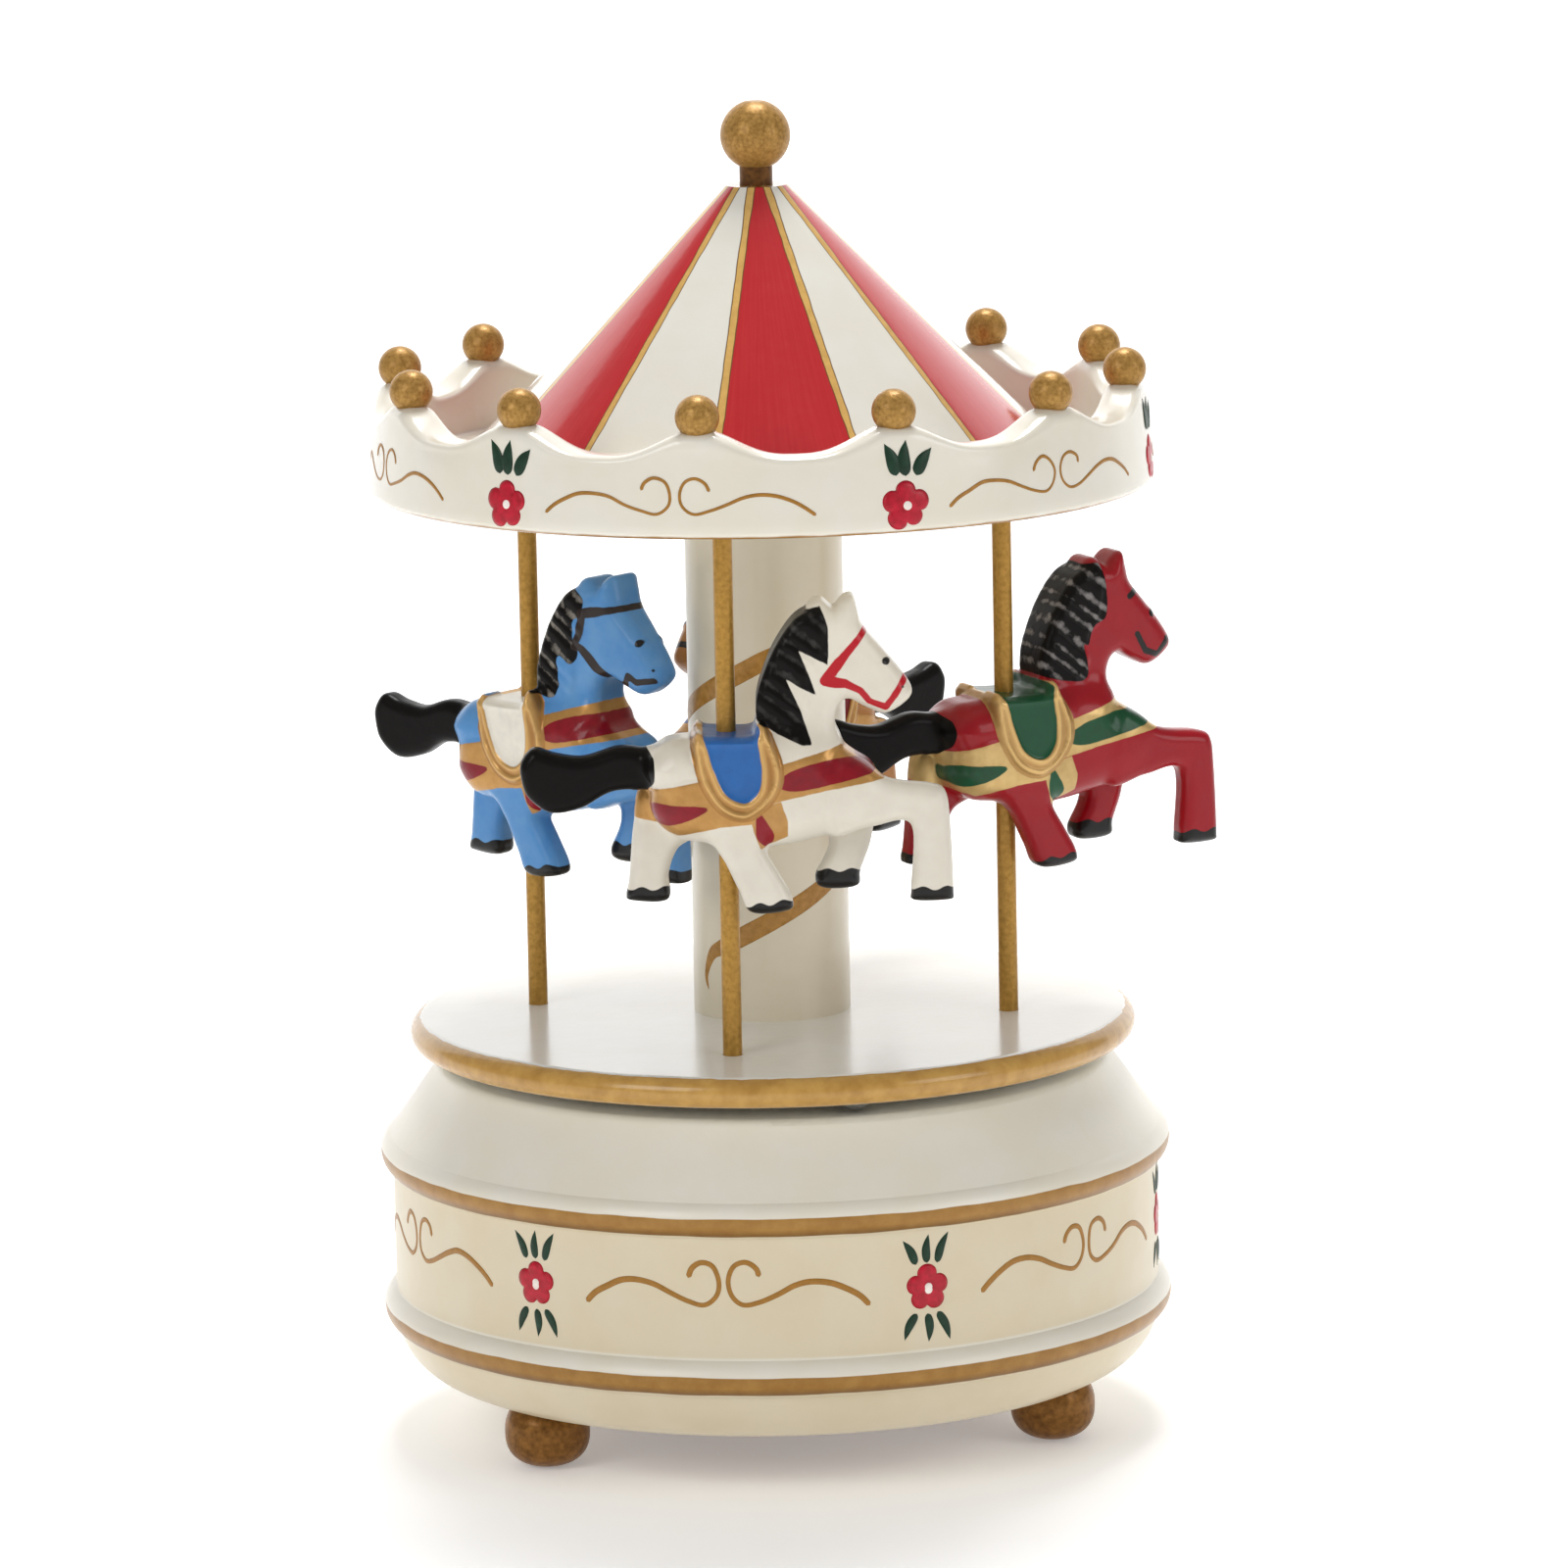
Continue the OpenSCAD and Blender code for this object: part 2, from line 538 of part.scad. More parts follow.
// one horse and its pole: station k on the pole circle, turned by swivel
// degrees from the riding direction, inward being positive
module station(k, swivel) at(pole_circle, phase + 90 * k)
  rotate([0, 0, 90 + swivel]) children();
white_swivel = 10;
red_swivel = -56;
tan_swivel = 55.5;
blue_swivel = 61;
module pole_white() station(0, white_swivel) pole();
module pole_red() station(1, red_swivel) pole();
module pole_tan() station(2, tan_swivel) pole();
module pole_blue() station(3, blue_swivel) pole();
module horse_white() station(0, white_swivel) horse(white_height, [0.94, 0.92, 0.87]);
module horse_red() station(1, red_swivel) horse(red_height, [0.65, 0.13, 0.15]);
module horse_tan() station(2, tan_swivel) horse(tan_height, [0.72, 0.50, 0.28]);
module horse_blue() station(3, blue_swivel) horse(blue_height, [0.36, 0.58, 0.84]);

base_shell();
base_cover();
for (k = [0 : 2]) {
  cover_screw(k);
  foot(k);
  flange_screw(k);
  glide(k);
}
bedplate();
movement_screw(-1);  // movement_screw_1
movement_screw(1);  // movement_screw_2
spring_barrel();
mainspring();
comb();
comb_screw(13.5);  // comb_screw_1
comb_screw(19.5);  // comb_screw_2
governor_frame();
winding_arbor();
great_wheel();
drive_flange();
platform();
column();
canopy();
cone_roof();
for (k = [1 : 12])
  crown_bead(k);
finial_neck();
finial_ball();
cylinder_drum();
cylinder_shaft();
cylinder_wheel();
governor_shaft();
governor_wheel();
fan_shaft();
fan_vane();
pole_white();
horse_white();
pole_red();
horse_red();
pole_tan();
horse_tan();
pole_blue();
horse_blue();
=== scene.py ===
"""Carousel music box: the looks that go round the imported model."""

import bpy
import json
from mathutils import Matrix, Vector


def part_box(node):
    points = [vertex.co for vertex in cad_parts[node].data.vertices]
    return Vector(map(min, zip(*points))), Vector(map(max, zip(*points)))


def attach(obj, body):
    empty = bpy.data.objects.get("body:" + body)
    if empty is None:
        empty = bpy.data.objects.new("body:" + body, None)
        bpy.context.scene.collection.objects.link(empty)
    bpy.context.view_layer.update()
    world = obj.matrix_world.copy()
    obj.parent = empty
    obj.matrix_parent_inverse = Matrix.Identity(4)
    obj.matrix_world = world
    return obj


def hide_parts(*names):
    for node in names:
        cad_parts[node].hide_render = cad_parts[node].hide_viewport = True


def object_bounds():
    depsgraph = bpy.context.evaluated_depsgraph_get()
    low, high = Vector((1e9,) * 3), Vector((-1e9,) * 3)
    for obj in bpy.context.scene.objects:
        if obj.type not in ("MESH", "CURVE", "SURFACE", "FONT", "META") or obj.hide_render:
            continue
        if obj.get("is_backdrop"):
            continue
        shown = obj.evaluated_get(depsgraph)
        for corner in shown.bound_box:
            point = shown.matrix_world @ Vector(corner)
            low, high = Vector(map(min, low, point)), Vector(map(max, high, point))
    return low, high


bl_info = {
    "name": "Carousel music box",
    "version": (1, 0, 0),
    "blender": (4, 5, 0),
    "location": "3D View > Sidebar > Carousel",
    "description": "Dresses the carousel music box with its paint, horses and stage",
    "category": "Object",
}

import json
import math

import bpy
import numpy as np
from bpy.props import FloatProperty, FloatVectorProperty, IntProperty, PointerProperty
from mathutils import Matrix, Vector

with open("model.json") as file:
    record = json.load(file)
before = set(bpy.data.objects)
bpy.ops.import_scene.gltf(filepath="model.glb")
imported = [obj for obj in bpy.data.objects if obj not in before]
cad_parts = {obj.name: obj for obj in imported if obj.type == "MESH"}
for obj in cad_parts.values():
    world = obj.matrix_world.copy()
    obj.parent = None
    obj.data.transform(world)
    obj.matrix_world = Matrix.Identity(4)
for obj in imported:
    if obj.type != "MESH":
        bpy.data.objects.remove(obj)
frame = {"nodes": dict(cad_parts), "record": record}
CAD_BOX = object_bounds()
NODES = frame["nodes"]
MM = 0.001
TURN = math.tau
# bearing of the white horse's pole; every pole, bead and painted panel is set out from it
PHASE = math.radians(-99.5)


# ------------------------------------------------------------------ numbers from the frame
def span(name):
    """Lowest and highest corner of a CAD node, in millimetres."""
    low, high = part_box(name)
    return np.array(low) / MM, np.array(high) / MM


def srgb(code):
    """An sRGB hex colour as linear red, green, blue."""
    parts = np.array([int(code[i : i + 2], 16) for i in (1, 3, 5)]) / 255
    return tuple(np.where(parts <= 0.04045, parts / 12.92, ((parts + 0.055) / 1.055) ** 2.4))


Z_BASE = span("base_shell")[0][2]
PLAT_R, _, Z_TOP = span("platform")[1]
Z_CAN = span("canopy")[0][2]
CAN_R, _, Z_RIM = span("canopy")[1]
Z_FLOOR, ROOF_R = span("cone_roof")[0][2], span("cone_roof")[1][0]
COLUMN_R = span("column")[1][0]
# the base's wall stands back from its rings, and the rim leans in towards its top
WALL_R = span("base_shell")[1][0] - 1.6
RIM_TAPER = 0.7


# ------------------------------------------------------------------ meshes
def fresh_object(name, points, faces):
    """A mesh object at the origin from points in millimetres and quads or triangles."""
    mesh = bpy.data.meshes.new(name)
    mesh.from_pydata((np.asarray(points) * MM).tolist(), [], [list(f) for f in faces])
    mesh.validate()
    mesh.shade_smooth()
    piece = bpy.data.objects.new(name, mesh)
    bpy.context.scene.collection.objects.link(piece)
    return piece


def dress(piece, material):
    """Gives a piece one material."""
    piece.data.materials.clear()
    piece.data.materials.append(material)


def finish_piece(piece, body, material, replaces=()):
    """Gives a piece its paint, its body and the CAD nodes that it stands for."""
    dress(piece, material)
    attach(piece, body)
    if replaces:
        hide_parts(*replaces)
    return piece


def loop_faces(rings, sides):
    """Quads between neighbouring rings of equally many points, each ring closed."""
    i = np.arange(rings - 1)[:, None] * sides
    j = np.arange(sides)[None, :]
    k = (j + 1) % sides
    quads = np.stack(np.broadcast_arrays(i + j, i + k, i + sides + k, i + sides + j), -1)
    return quads.reshape(-1, 4)


def closed_tube(rings):
    """Points and faces of a tube through rings (n, m, 3), its two ends closed by fans."""
    n, m = rings.shape[:2]
    points = np.concatenate([rings.reshape(-1, 3), [rings[0].mean(0)], [rings[-1].mean(0)]])
    j = np.arange(m)
    k = (j + 1) % m
    first = np.stack([k, j, np.full(m, n * m)], -1)
    last = np.stack([(n - 1) * m + j, (n - 1) * m + k, np.full(m, n * m + 1)], -1)
    return points, list(map(tuple, loop_faces(n, m))) + list(map(tuple, first)) + list(
        map(tuple, last)
    )


def joined(shells):
    """Several (points, faces) shells as one."""
    points, faces, start = [], [], 0
    for p, f in shells:
        points.append(p)
        faces += [tuple(i + start for i in face) for face in f]
        start += len(p)
    return np.concatenate(points), faces


def curve_steps(a, b, c, d, steps):
    """Catmull-Rom curve from each b to its c, in that many steps, with a and d as neighbours."""
    t = np.linspace(0, 1, steps, endpoint=False)[:, None, None]
    q = 0.5 * (2 * b + (c - a) * t + (2 * a - 5 * b + 4 * c - d) * t**2
               + (3 * b - 3 * c + d - a) * t**3)
    return q.transpose(1, 0, 2).reshape(-1, b.shape[1])


def smooth_path(points, count):
    """Catmull-Rom curve through the points, resampled to equal steps along its length."""
    p = np.asarray(points, float)
    p = np.concatenate([[2 * p[0] - p[1]], p, [2 * p[-1] - p[-2]]])
    q = np.concatenate([curve_steps(p[:-3], p[1:-2], p[2:-1], p[3:], 16), p[-2:-1]])
    run = np.concatenate([[0], np.cumsum(np.linalg.norm(np.diff(q, axis=0), axis=1))])
    s = np.linspace(0, run[-1], count)
    return np.stack([np.interp(s, run, q[:, i]) for i in range(p.shape[1])], -1)


def revolved(profile, sides=360):
    """A profile of (radius, height) turned about the axis, its first and last points on it."""
    a = np.arange(sides) * TURN / sides
    p = np.asarray(profile, float)[1:-1]
    rings = np.stack([p[:, :1] * np.cos(a), p[:, :1] * np.sin(a),
                      np.repeat(p[:, 1:], sides, 1)], -1)
    points, faces = closed_tube(rings)
    points[-2], points[-1] = (0, 0, profile[0][1]), (0, 0, profile[-1][1])
    return points, faces


# ------------------------------------------------------------------ brushwork
def brush_stroke(path, width, lift, wrap, count=48, around=12, ends=(1.0, 1.0)):
    """A loaded-brush stroke: a low dome carried along a flat path, then wrapped on a surface.
    Across the stroke the height is lift times the square root of one less the offset squared;
    its back is sunk 0.12 mm into the surface. Both ends are rounded, and ends scales each."""
    p = smooth_path(path, count)
    way = np.gradient(p, axis=0)
    way /= np.linalg.norm(way, axis=1, keepdims=True)
    side = np.stack([-way[:, 1], way[:, 0]], -1)
    run = np.concatenate([[0], np.cumsum(np.linalg.norm(np.diff(p, axis=0), axis=1))])
    t = run / run[-1]
    half = width(t) / 2
    cap = np.clip(np.minimum(run / (half.max() * ends[0] + 1e-6),
                             (run[-1] - run) / (half.max() * ends[1] + 1e-6)), 0, 1)
    half = half * np.sqrt(np.clip(1 - (1 - cap) ** 2, 0.0025, 1))
    f = np.arange(around) * TURN / around
    flat = p[:, None] + side[:, None] * (half[:, None] * np.cos(f))[..., None]
    rise = np.where(np.sin(f) > 0, lift * np.sin(f), 0.12 * np.sin(f))[None, :]
    rise = rise * np.clip(half / half.max(), 0.25, 1)[:, None]
    return closed_tube(wrap(flat[..., 0], flat[..., 1], rise))


def daub(centre, radius, lift, wrap, around=60, rings=8):
    """A filled daub of paint: radius(angle) gives its outline, and the height falls from lift at
    the middle to nothing at the edge as the square root of one less the share squared."""
    a = np.arange(around) * TURN / around
    share = np.concatenate([np.linspace(0.04, 1, rings), np.linspace(0.96, 0.04, 4)])
    rise = np.concatenate([lift * np.sqrt(1 - share[:rings] ** 2) ** 0.7, np.full(4, -0.12)])
    r = share[:, None] * radius(a)[None, :]
    u, v = centre[0] + r * np.cos(a), centre[1] + r * np.sin(a)
    return closed_tube(wrap(u, v, np.repeat(rise[:, None], around, 1))[:, ::-1])


def drum_wrap(bearing, radius):
    """Maps flat (right, up, out) in millimetres round a drum seen from outside."""
    def wrap(u, v, out):
        r = radius(v) + out
        a = bearing + u / radius(v)
        return np.stack([r * np.cos(a), r * np.sin(a), v + 0 * a], -1)
    return wrap


# one scroll of the pair, from its curled head to its tail, and the way it thins
SCROLL = [(4.6, 3.4), (4.1, 4.7), (2.8, 5.4), (1.3, 4.8), (0.6, 2.9), (1.0, 1.0),
          (2.5, -0.1), (4.6, 0.3), (6.9, 1.2), (9.1, 2.3), (11.3, 2.8), (13.5, 2.6),
          (15.6, 1.7), (17.3, 0.6), (18.7, -0.7)]


def scroll_pair(wrap, low, scale, thick, jitter):
    """Two mirrored scrolls back to back; jitter bends each one a little as a hand would."""
    shells = []
    for hand in (-1, 1):
        p = np.array(SCROLL) * (scale[0], scale[1])
        p = p + jitter.normal(0, 0.06, p.shape) * (1, 0.8)
        p = p * (hand, 1) + (0, low)
        if hand > 0:
            p = p[::-1]
        swell = 0.75 + 0.25 * jitter.random()
        shells.append(brush_stroke(
            p, lambda t, s=swell: thick * (0.72 + 0.28 * s * np.sin(3.0 * t + hand) ** 2),
            0.07, wrap, count=110, around=10))
    return shells


def leaf(wrap, foot, tip, wide, bend):
    """One leaf: a single press of the brush, broad near its foot and pointed at its tip."""
    foot, tip = np.array(foot), np.array(tip)
    mid = (foot + tip) / 2 + bend * np.array([-(tip - foot)[1], (tip - foot)[0]])
    return brush_stroke([foot, mid, tip],
                        lambda t: wide * (0.62 + 0.75 * np.sin(np.pi * t**0.8)
                                          - 0.45 * t) / 1.05,
                        0.16, wrap, count=24, around=14, ends=(0.8, 1.6))


def blossom(wrap, centre, size, turn, jitter):
    """Five round petals in one daub: the radius swells five times round."""
    lobes = 1 + jitter.normal(0, 0.05, 5)

    def outline(a):
        b = (a - turn) / TURN * 5
        petal = np.abs(np.cos(np.pi * b)) ** 0.6
        each = lobes[np.round(b).astype(int) % 5]
        return size * each * (0.70 + 0.32 * petal)
    return daub(centre, outline, 0.22, wrap, around=90)


# ------------------------------------------------------------------ materials
def add(tree, kind, inputs=None, **settings):
    """Adds one shader node with its settings, and links or sets its inputs."""
    made = tree.nodes.new(kind)
    for key, value in settings.items():
        setattr(made, key, value)
    for key, value in (inputs or {}).items():
        if isinstance(value, bpy.types.NodeSocket):
            tree.links.new(value, made.inputs[key])
        else:
            made.inputs[key].default_value = value
    return made


def colour(code, alpha=1.0):
    """A hex code or a setting as linear red, green, blue and alpha."""
    return (*srgb(code), alpha) if isinstance(code, str) else (*code, alpha)


def new_material(name, **shader):
    """A node material with one principled shader, its even values set on its own sockets."""
    material = bpy.data.materials.new(name)
    material.use_nodes = True
    tree = material.node_tree
    tree.nodes.clear()
    body = add(tree, "ShaderNodeBsdfPrincipled", shader)
    add(tree, "ShaderNodeOutputMaterial", {"Surface": body.outputs[0]})
    return material, tree, body


def place(tree, scale=(1, 1, 1), turn=(0, 0, 0)):
    """Object coordinates in millimetres, stretched and turned by a Mapping node."""
    spot = add(tree, "ShaderNodeTexCoord").outputs["Object"]
    return add(tree, "ShaderNodeMapping", {"Vector": spot, "Rotation": turn,
               "Scale": tuple(s / MM for s in scale)}).outputs[0]


def calc(tree, what, a, b=0.0, c=0.0):
    """One step of arithmetic."""
    return add(tree, "ShaderNodeMath", {0: a, 1: b, 2: c}, operation=what).outputs[0]


def mix_sockets(tree, share, a, b):
    """Mixes two colours; the colour sockets of the Mix node are its seventh and eighth."""
    return add(tree, "ShaderNodeMix", {0: share, 6: a, 7: b}, data_type="RGBA").outputs[2]


def noise(tree, size, detail, stretch=(1, 1, 1), rough=0.5):
    """Smooth noise in patches of the given size in millimetres."""
    return add(tree, "ShaderNodeTexNoise", {"Vector": place(tree, stretch), "Scale": 1 / size,
               "Detail": detail, "Roughness": rough}).outputs["Fac"]


def ramp(tree, value, start, end, low, high):
    """A value carried from one range to another and held at both ends."""
    return add(tree, "ShaderNodeMapRange", {"Value": value, "From Min": start,
               "From Max": end, "To Min": low, "To Max": high}).outputs[0]


def raised(tree, body, height, depth):
    """Lifts the surface, to the eye, by up to depth millimetres where height is one."""
    made = add(tree, "ShaderNodeBump", {"Height": height, "Strength": 1.0,
               "Distance": depth * MM})
    tree.links.new(made.outputs[0], body.inputs["Normal"])


def edge(tree, value, soft=0.05):
    """One where value (millimetres, negative inside) is below nothing, with a crisp edge."""
    return ramp(tree, value, -soft, soft, 1.0, 0.0)


def mottled(tree, base, dark, size, amount, detail=3.0):
    """The base colour drifting towards a second one in patches of the given size in mm."""
    patches = noise(tree, size, detail, rough=0.55)
    return mix_sockets(tree, ramp(tree, patches, 0.35, 0.7, 0.0, amount), base, dark)


def brushed_bump(tree, body, fine=0.35, depth=0.02, stretch=(1, 1, 0.25), soft=2.2):
    """Bump from fine brush drags and a broader unevenness of the coat."""
    drag, wave = noise(tree, fine, 2.0, stretch), noise(tree, soft, 1.0)
    raised(tree, body, calc(tree, "MULTIPLY_ADD", wave, 2.0, drag), depth)


def radius_and_height(tree):
    """Distance from the upright axis and height, both in millimetres."""
    spot = add(tree, "ShaderNodeSeparateXYZ", {0: place(tree)})
    x, y, z = spot.outputs
    r = calc(tree, "SQRT", calc(tree, "ADD", calc(tree, "MULTIPLY", x, x),
                                calc(tree, "MULTIPLY", y, y)))
    return r, z, x, y


def wobble(tree, size, amount):
    """A hand's unsteadiness along a painted edge: plus or minus amount millimetres."""
    sway = calc(tree, "SUBTRACT", noise(tree, size, 1.0), 0.5)
    return calc(tree, "MULTIPLY", sway, 2 * amount)


# ------------------------------------------------------------------ the paints and metals
def tree_colour(material, body, socket):
    """Links a colour to the shader's base colour."""
    material.node_tree.links.new(socket, body.inputs["Base Color"])


def cream_enamel_base(p):
    """Cream enamel brushed on turned wood, with a gold line round each ring moulding.
    The eye sees a soft gloss, faint yellowing in patches, a hand-cut edge to the gold and painted
    shade along the gold's lower edge."""
    material, tree, body = new_material("cream_enamel_base", Roughness=0.34, **{
        "Coat Weight": 0.15, "Coat Roughness": 0.18, "Specular IOR Level": 0.3})
    r, z, x, y = radius_and_height(tree)
    wall = mottled(tree, colour(p.cream_aged), colour("#D0BF9C"), 9.0, 0.5)
    upper = mottled(tree, colour(p.off_white), colour(p.cream), 10.0, 0.4)
    # the whiter coat covers the shoulder and the top half of each ring
    high = edge(tree, calc(tree, "SUBTRACT", p.ring_high / MM, z), 0.1)
    lip = calc(tree, "ABSOLUTE", calc(tree, "SUBTRACT", z, p.ring_low / MM + 1.5))
    white = calc(tree, "MAXIMUM", high, edge(tree, calc(tree, "SUBTRACT", lip, 1.2), 0.15))
    unsteady = wobble(tree, 7.0, 0.2)
    light = mottled(tree, colour(p.gold), colour(p.gold_bright), 2.2, 0.35, 6.0)
    made = mix_sockets(tree, white, wall, upper)
    for height in (p.ring_high, p.ring_low):
        off = calc(tree, "ABSOLUTE", calc(tree, "SUBTRACT", z, height / MM - 0.75))
        away = calc(tree, "ADD", calc(tree, "SUBTRACT", off, 1.22), unsteady)
        inside = calc(tree, "MULTIPLY", edge(tree, away),
                      calc(tree, "GREATER_THAN", r, WALL_R + 0.2))
        # painted shade: the gold darkens towards the lower edge of each ring, where the moulding
        # turns down away from the light
        under = ramp(tree, z, height / MM - 2.0, height / MM - 0.9, 0.75, 0.0)
        gold = mix_sockets(tree, under, light, colour(p.gold_dark))
        made = mix_sockets(tree, inside, made, gold)
    tree_colour(material, body, made)
    brushed_bump(tree, body, 0.45, 0.012)
    return material


def cream_enamel_crown(p):
    """The same cream enamel inside and out on the scalloped rim, yellower in the low edge."""
    material, tree, body = new_material("cream_enamel_crown", Roughness=0.27,
                                        **{"Coat Weight": 0.5, "Coat Roughness": 0.12})
    r, z, x, y = radius_and_height(tree)
    cream = mottled(tree, colour(p.off_white), colour(p.cream), 11.0, 0.45)
    low = edge(tree, calc(tree, "ADD", calc(tree, "SUBTRACT", z, Z_CAN + 0.35),
                          wobble(tree, 3.0, 0.15)), 0.12)
    tan = calc(tree, "MULTIPLY", low, calc(tree, "GREATER_THAN", r, CAN_R - 1.5))
    tree_colour(material, body, mix_sockets(tree, tan, cream, colour(p.gold)))
    brushed_bump(tree, body, 0.6, 0.01)
    return material


def white_lacquer(p):
    """White lacquer on the turned platform, gold on its round edge. It is glossier than the
    base, and the gold laps a little unevenly over the top."""
    material, tree, body = new_material("white_lacquer_platform", Roughness=0.22, **{
        "Coat Weight": 0.2, "Coat Roughness": 0.1, "Specular IOR Level": 0.35})
    r, z, x, y = radius_and_height(tree)
    white = mottled(tree, colour(p.white), colour(p.cream), 12.0, 0.25)
    gold = mottled(tree, colour(p.gold_bright), colour(p.gold), 2.4, 0.6, 6.0)
    past = calc(tree, "ADD", calc(tree, "SUBTRACT", PLAT_R - 1.35, r), wobble(tree, 2.4, 0.25))
    tree_colour(material, body, mix_sockets(tree, edge(tree, past), white, gold))
    brushed_bump(tree, body, 0.5, 0.01)
    return material


def gold_paint(name, light, dark, grain, rough, depth):
    """Bronze-powder gold paint on turned wood: powder gathers in mottles of about a
    millimetre, and the gloss breaks up over them."""
    material, tree, body = new_material(name, Roughness=rough, Metallic=0.25, **{
        "Coat Weight": 0.12, "Coat Roughness": 0.2, "Specular IOR Level": 0.3,
        "Specular Tint": (0.75, 0.52, 0.26, 1)})
    base = mottled(tree, light, dark, grain, 0.95, 6.0)
    tree_colour(material, body, base)
    brushed_bump(tree, body, grain * 0.35, depth, (1, 1, 1), grain * 2)
    return material


def roof_enamel(p):
    """Red and cream enamel in twelve segments, parted by gold brush lines. The red is thin
    enough to show its strokes, which run down the cone."""
    material, tree, body = new_material("roof_enamel", Roughness=0.2,
                                        **{"Coat Weight": 0.5, "Coat Roughness": 0.08})
    r, z, x, y = radius_and_height(tree)
    bearing = calc(tree, "ARCTAN2", y, x)
    share = calc(tree, "DIVIDE", calc(tree, "SUBTRACT", bearing, PHASE), TURN / 12)
    red_half = calc(tree, "LESS_THAN", calc(tree, "FLOORED_MODULO", share, 2.0), 1.0)
    streak = add(tree, "ShaderNodeCombineXYZ", {0: calc(tree, "MULTIPLY", bearing, 60.0),
                 1: calc(tree, "MULTIPLY", z, 0.12), 2: 0.0}).outputs[0]
    strokes = add(tree, "ShaderNodeTexNoise", {"Vector": streak, "Scale": 1.0,
                  "Detail": 3.0}).outputs["Fac"]
    thin = ramp(tree, strokes, 0.4, 0.75, 0.0, 0.3)
    red = mix_sockets(tree, thin, colour(p.roof_red), colour(p.roof_red_thin))
    cream = mottled(tree, colour(p.off_white), colour(p.white), 8.0, 0.6)
    made = mix_sockets(tree, red_half, cream, red)
    near = calc(tree, "SUBTRACT", share, calc(tree, "ROUND", share))
    off = calc(tree, "MULTIPLY", calc(tree, "MULTIPLY", calc(tree, "ABSOLUTE", near),
                                      TURN / 12), r)
    sway = wobble(tree, 3.5, 0.16)
    dark = edge(tree, calc(tree, "ADD", calc(tree, "SUBTRACT", off, 0.56), sway))
    line = edge(tree, calc(tree, "ADD", calc(tree, "SUBTRACT", off, 0.42), sway))
    made = mix_sockets(tree, dark, made, colour(p.gold_dark))
    gold = mottled(tree, colour("#D8AC5E"), colour(p.gold_bright), 1.5, 0.7, 5.0)
    tree_colour(material, body, mix_sockets(tree, line, made, gold))
    brushed_bump(tree, body, 0.5, 0.012, (1, 1, 0.2))
    return material


def cream_column_paint(p):
    """Cream enamel on the turned column, brushed round it."""
    material, tree, body = new_material("cream_enamel_column", Roughness=0.32,
                                        **{"Coat Weight": 0.3, "Coat Roughness": 0.15})
    tree_colour(material, body, mottled(tree, colour(p.cream), colour("#D4C6AA"), 7.0, 0.3))
    brushed_bump(tree, body, 0.4, 0.012, (0.25, 0.25, 1))
    return material


def brush_paint(name, code, shade, rough=0.3):
    """Artist's enamel laid in single strokes: thicker in the middle of a stroke, so a little
    glossier and darker in patches of about a millimetre."""
    material, tree, body = new_material(name, Roughness=rough, **{
        "Coat Weight": 0.1, "Coat Roughness": 0.15, "Specular IOR Level": 0.25})
    tree_colour(material, body, mottled(tree, code, shade, 0.9, 0.9, 4.0))
    brushed_bump(tree, body, 0.3, 0.015, (1, 1, 0.4), 1.2)
    return material


def turned_metal(name, code, shade, rough, pitch=0.12):
    """Machined metal: fine tool marks and a slightly uneven tarnish. The marks are drawn at
    0.12 mm, coarser than real ones, so that they show."""
    material, tree, body = new_material(name, Metallic=1.0, Roughness=rough)
    tree_colour(material, body, mottled(tree, code, shade, 3.0, 0.7))
    brushed_bump(tree, body, pitch, 0.006, (1, 1, 6))
    return material


def zinc_casting():
    """Die-cast zinc: dull, with the faint orange-peel skin that the die leaves."""
    material, tree, body = new_material("zinc_die_casting", Metallic=0.9, Roughness=0.48)
    tree_colour(material, body, mottled(tree, colour("#A9AAA8"), colour("#8B8C8B"), 2.5, 0.8))
    brushed_bump(tree, body, 0.35, 0.02, (1, 1, 1))
    return material


def hardboard():
    """Bare hardboard: pressed brown fibre in short dark flecks, with no gloss."""
    material, tree, body = new_material("hardboard_bare", Roughness=0.85)
    fleck = noise(tree, 1 / 1.4, 8.0, (1, 3, 1), 0.75)
    share = ramp(tree, fleck, 0.38, 0.62, 0.0, 1.0)
    tree_colour(material, body, mix_sockets(tree, share, colour("#6B4A2C"), colour("#8F6A43")))
    raised(tree, body, fleck, 0.05)
    return material


# ------------------------------------------------------------------ the horse
# outlines seen from the right side, in millimetres: forward from the pole, above the lowest hoof
BARREL = [(-9.6, 15.9), (-10.6, 19), (-8.4, 21.6), (-5.2, 22.4), (4.4, 22.6), (9, 23.4),
          (13.6, 22.2), (14.8, 20.4), (18.4, 18.4), (19.6, 14.6), (17.6, 11.2), (10.5, 9),
          (3.7, 8), (-2.4, 8.8), (-6.6, 9.6), (-9.4, 12.6)]
NECK_HEAD = [(9.6, 18), (4.6, 22.4), (4.1, 27), (5.2, 31.2), (7, 34.6), (9.2, 37.0),
             (10.4, 38.6), (11.3, 39.6), (12.5, 39.7), (13.8, 38.6), (14.7, 39.5), (15.6, 40.2),
             (16.5, 40.1), (17.0, 38.2), (17.6, 36.2), (19.9, 33.4), (22.5, 30.2),
             (23.8, 27.8), (22.9, 26.2), (20.3, 24.9), (17.9, 25.8), (15.5, 27), (14.1, 25.6),
             (13.8, 22), (15, 18)]
FORE_NEAR = [(14.4, 19.6), (20.6, 16.9), (26, 16.1), (27.8, 15), (28.3, 11), (28.6, 2.2),
             (28.2, 1.2), (23.5, 1.2), (23.2, 2.6), (23.3, 11), (18.2, 10.8), (13, 10.2)]
FORE_FAR = [(13, 13), (18.6, 13), (18.3, 8), (16.9, 4), (16.4, 1.9), (12.1, 1.7),
            (11.1, 3.3), (12.9, 7.2)]
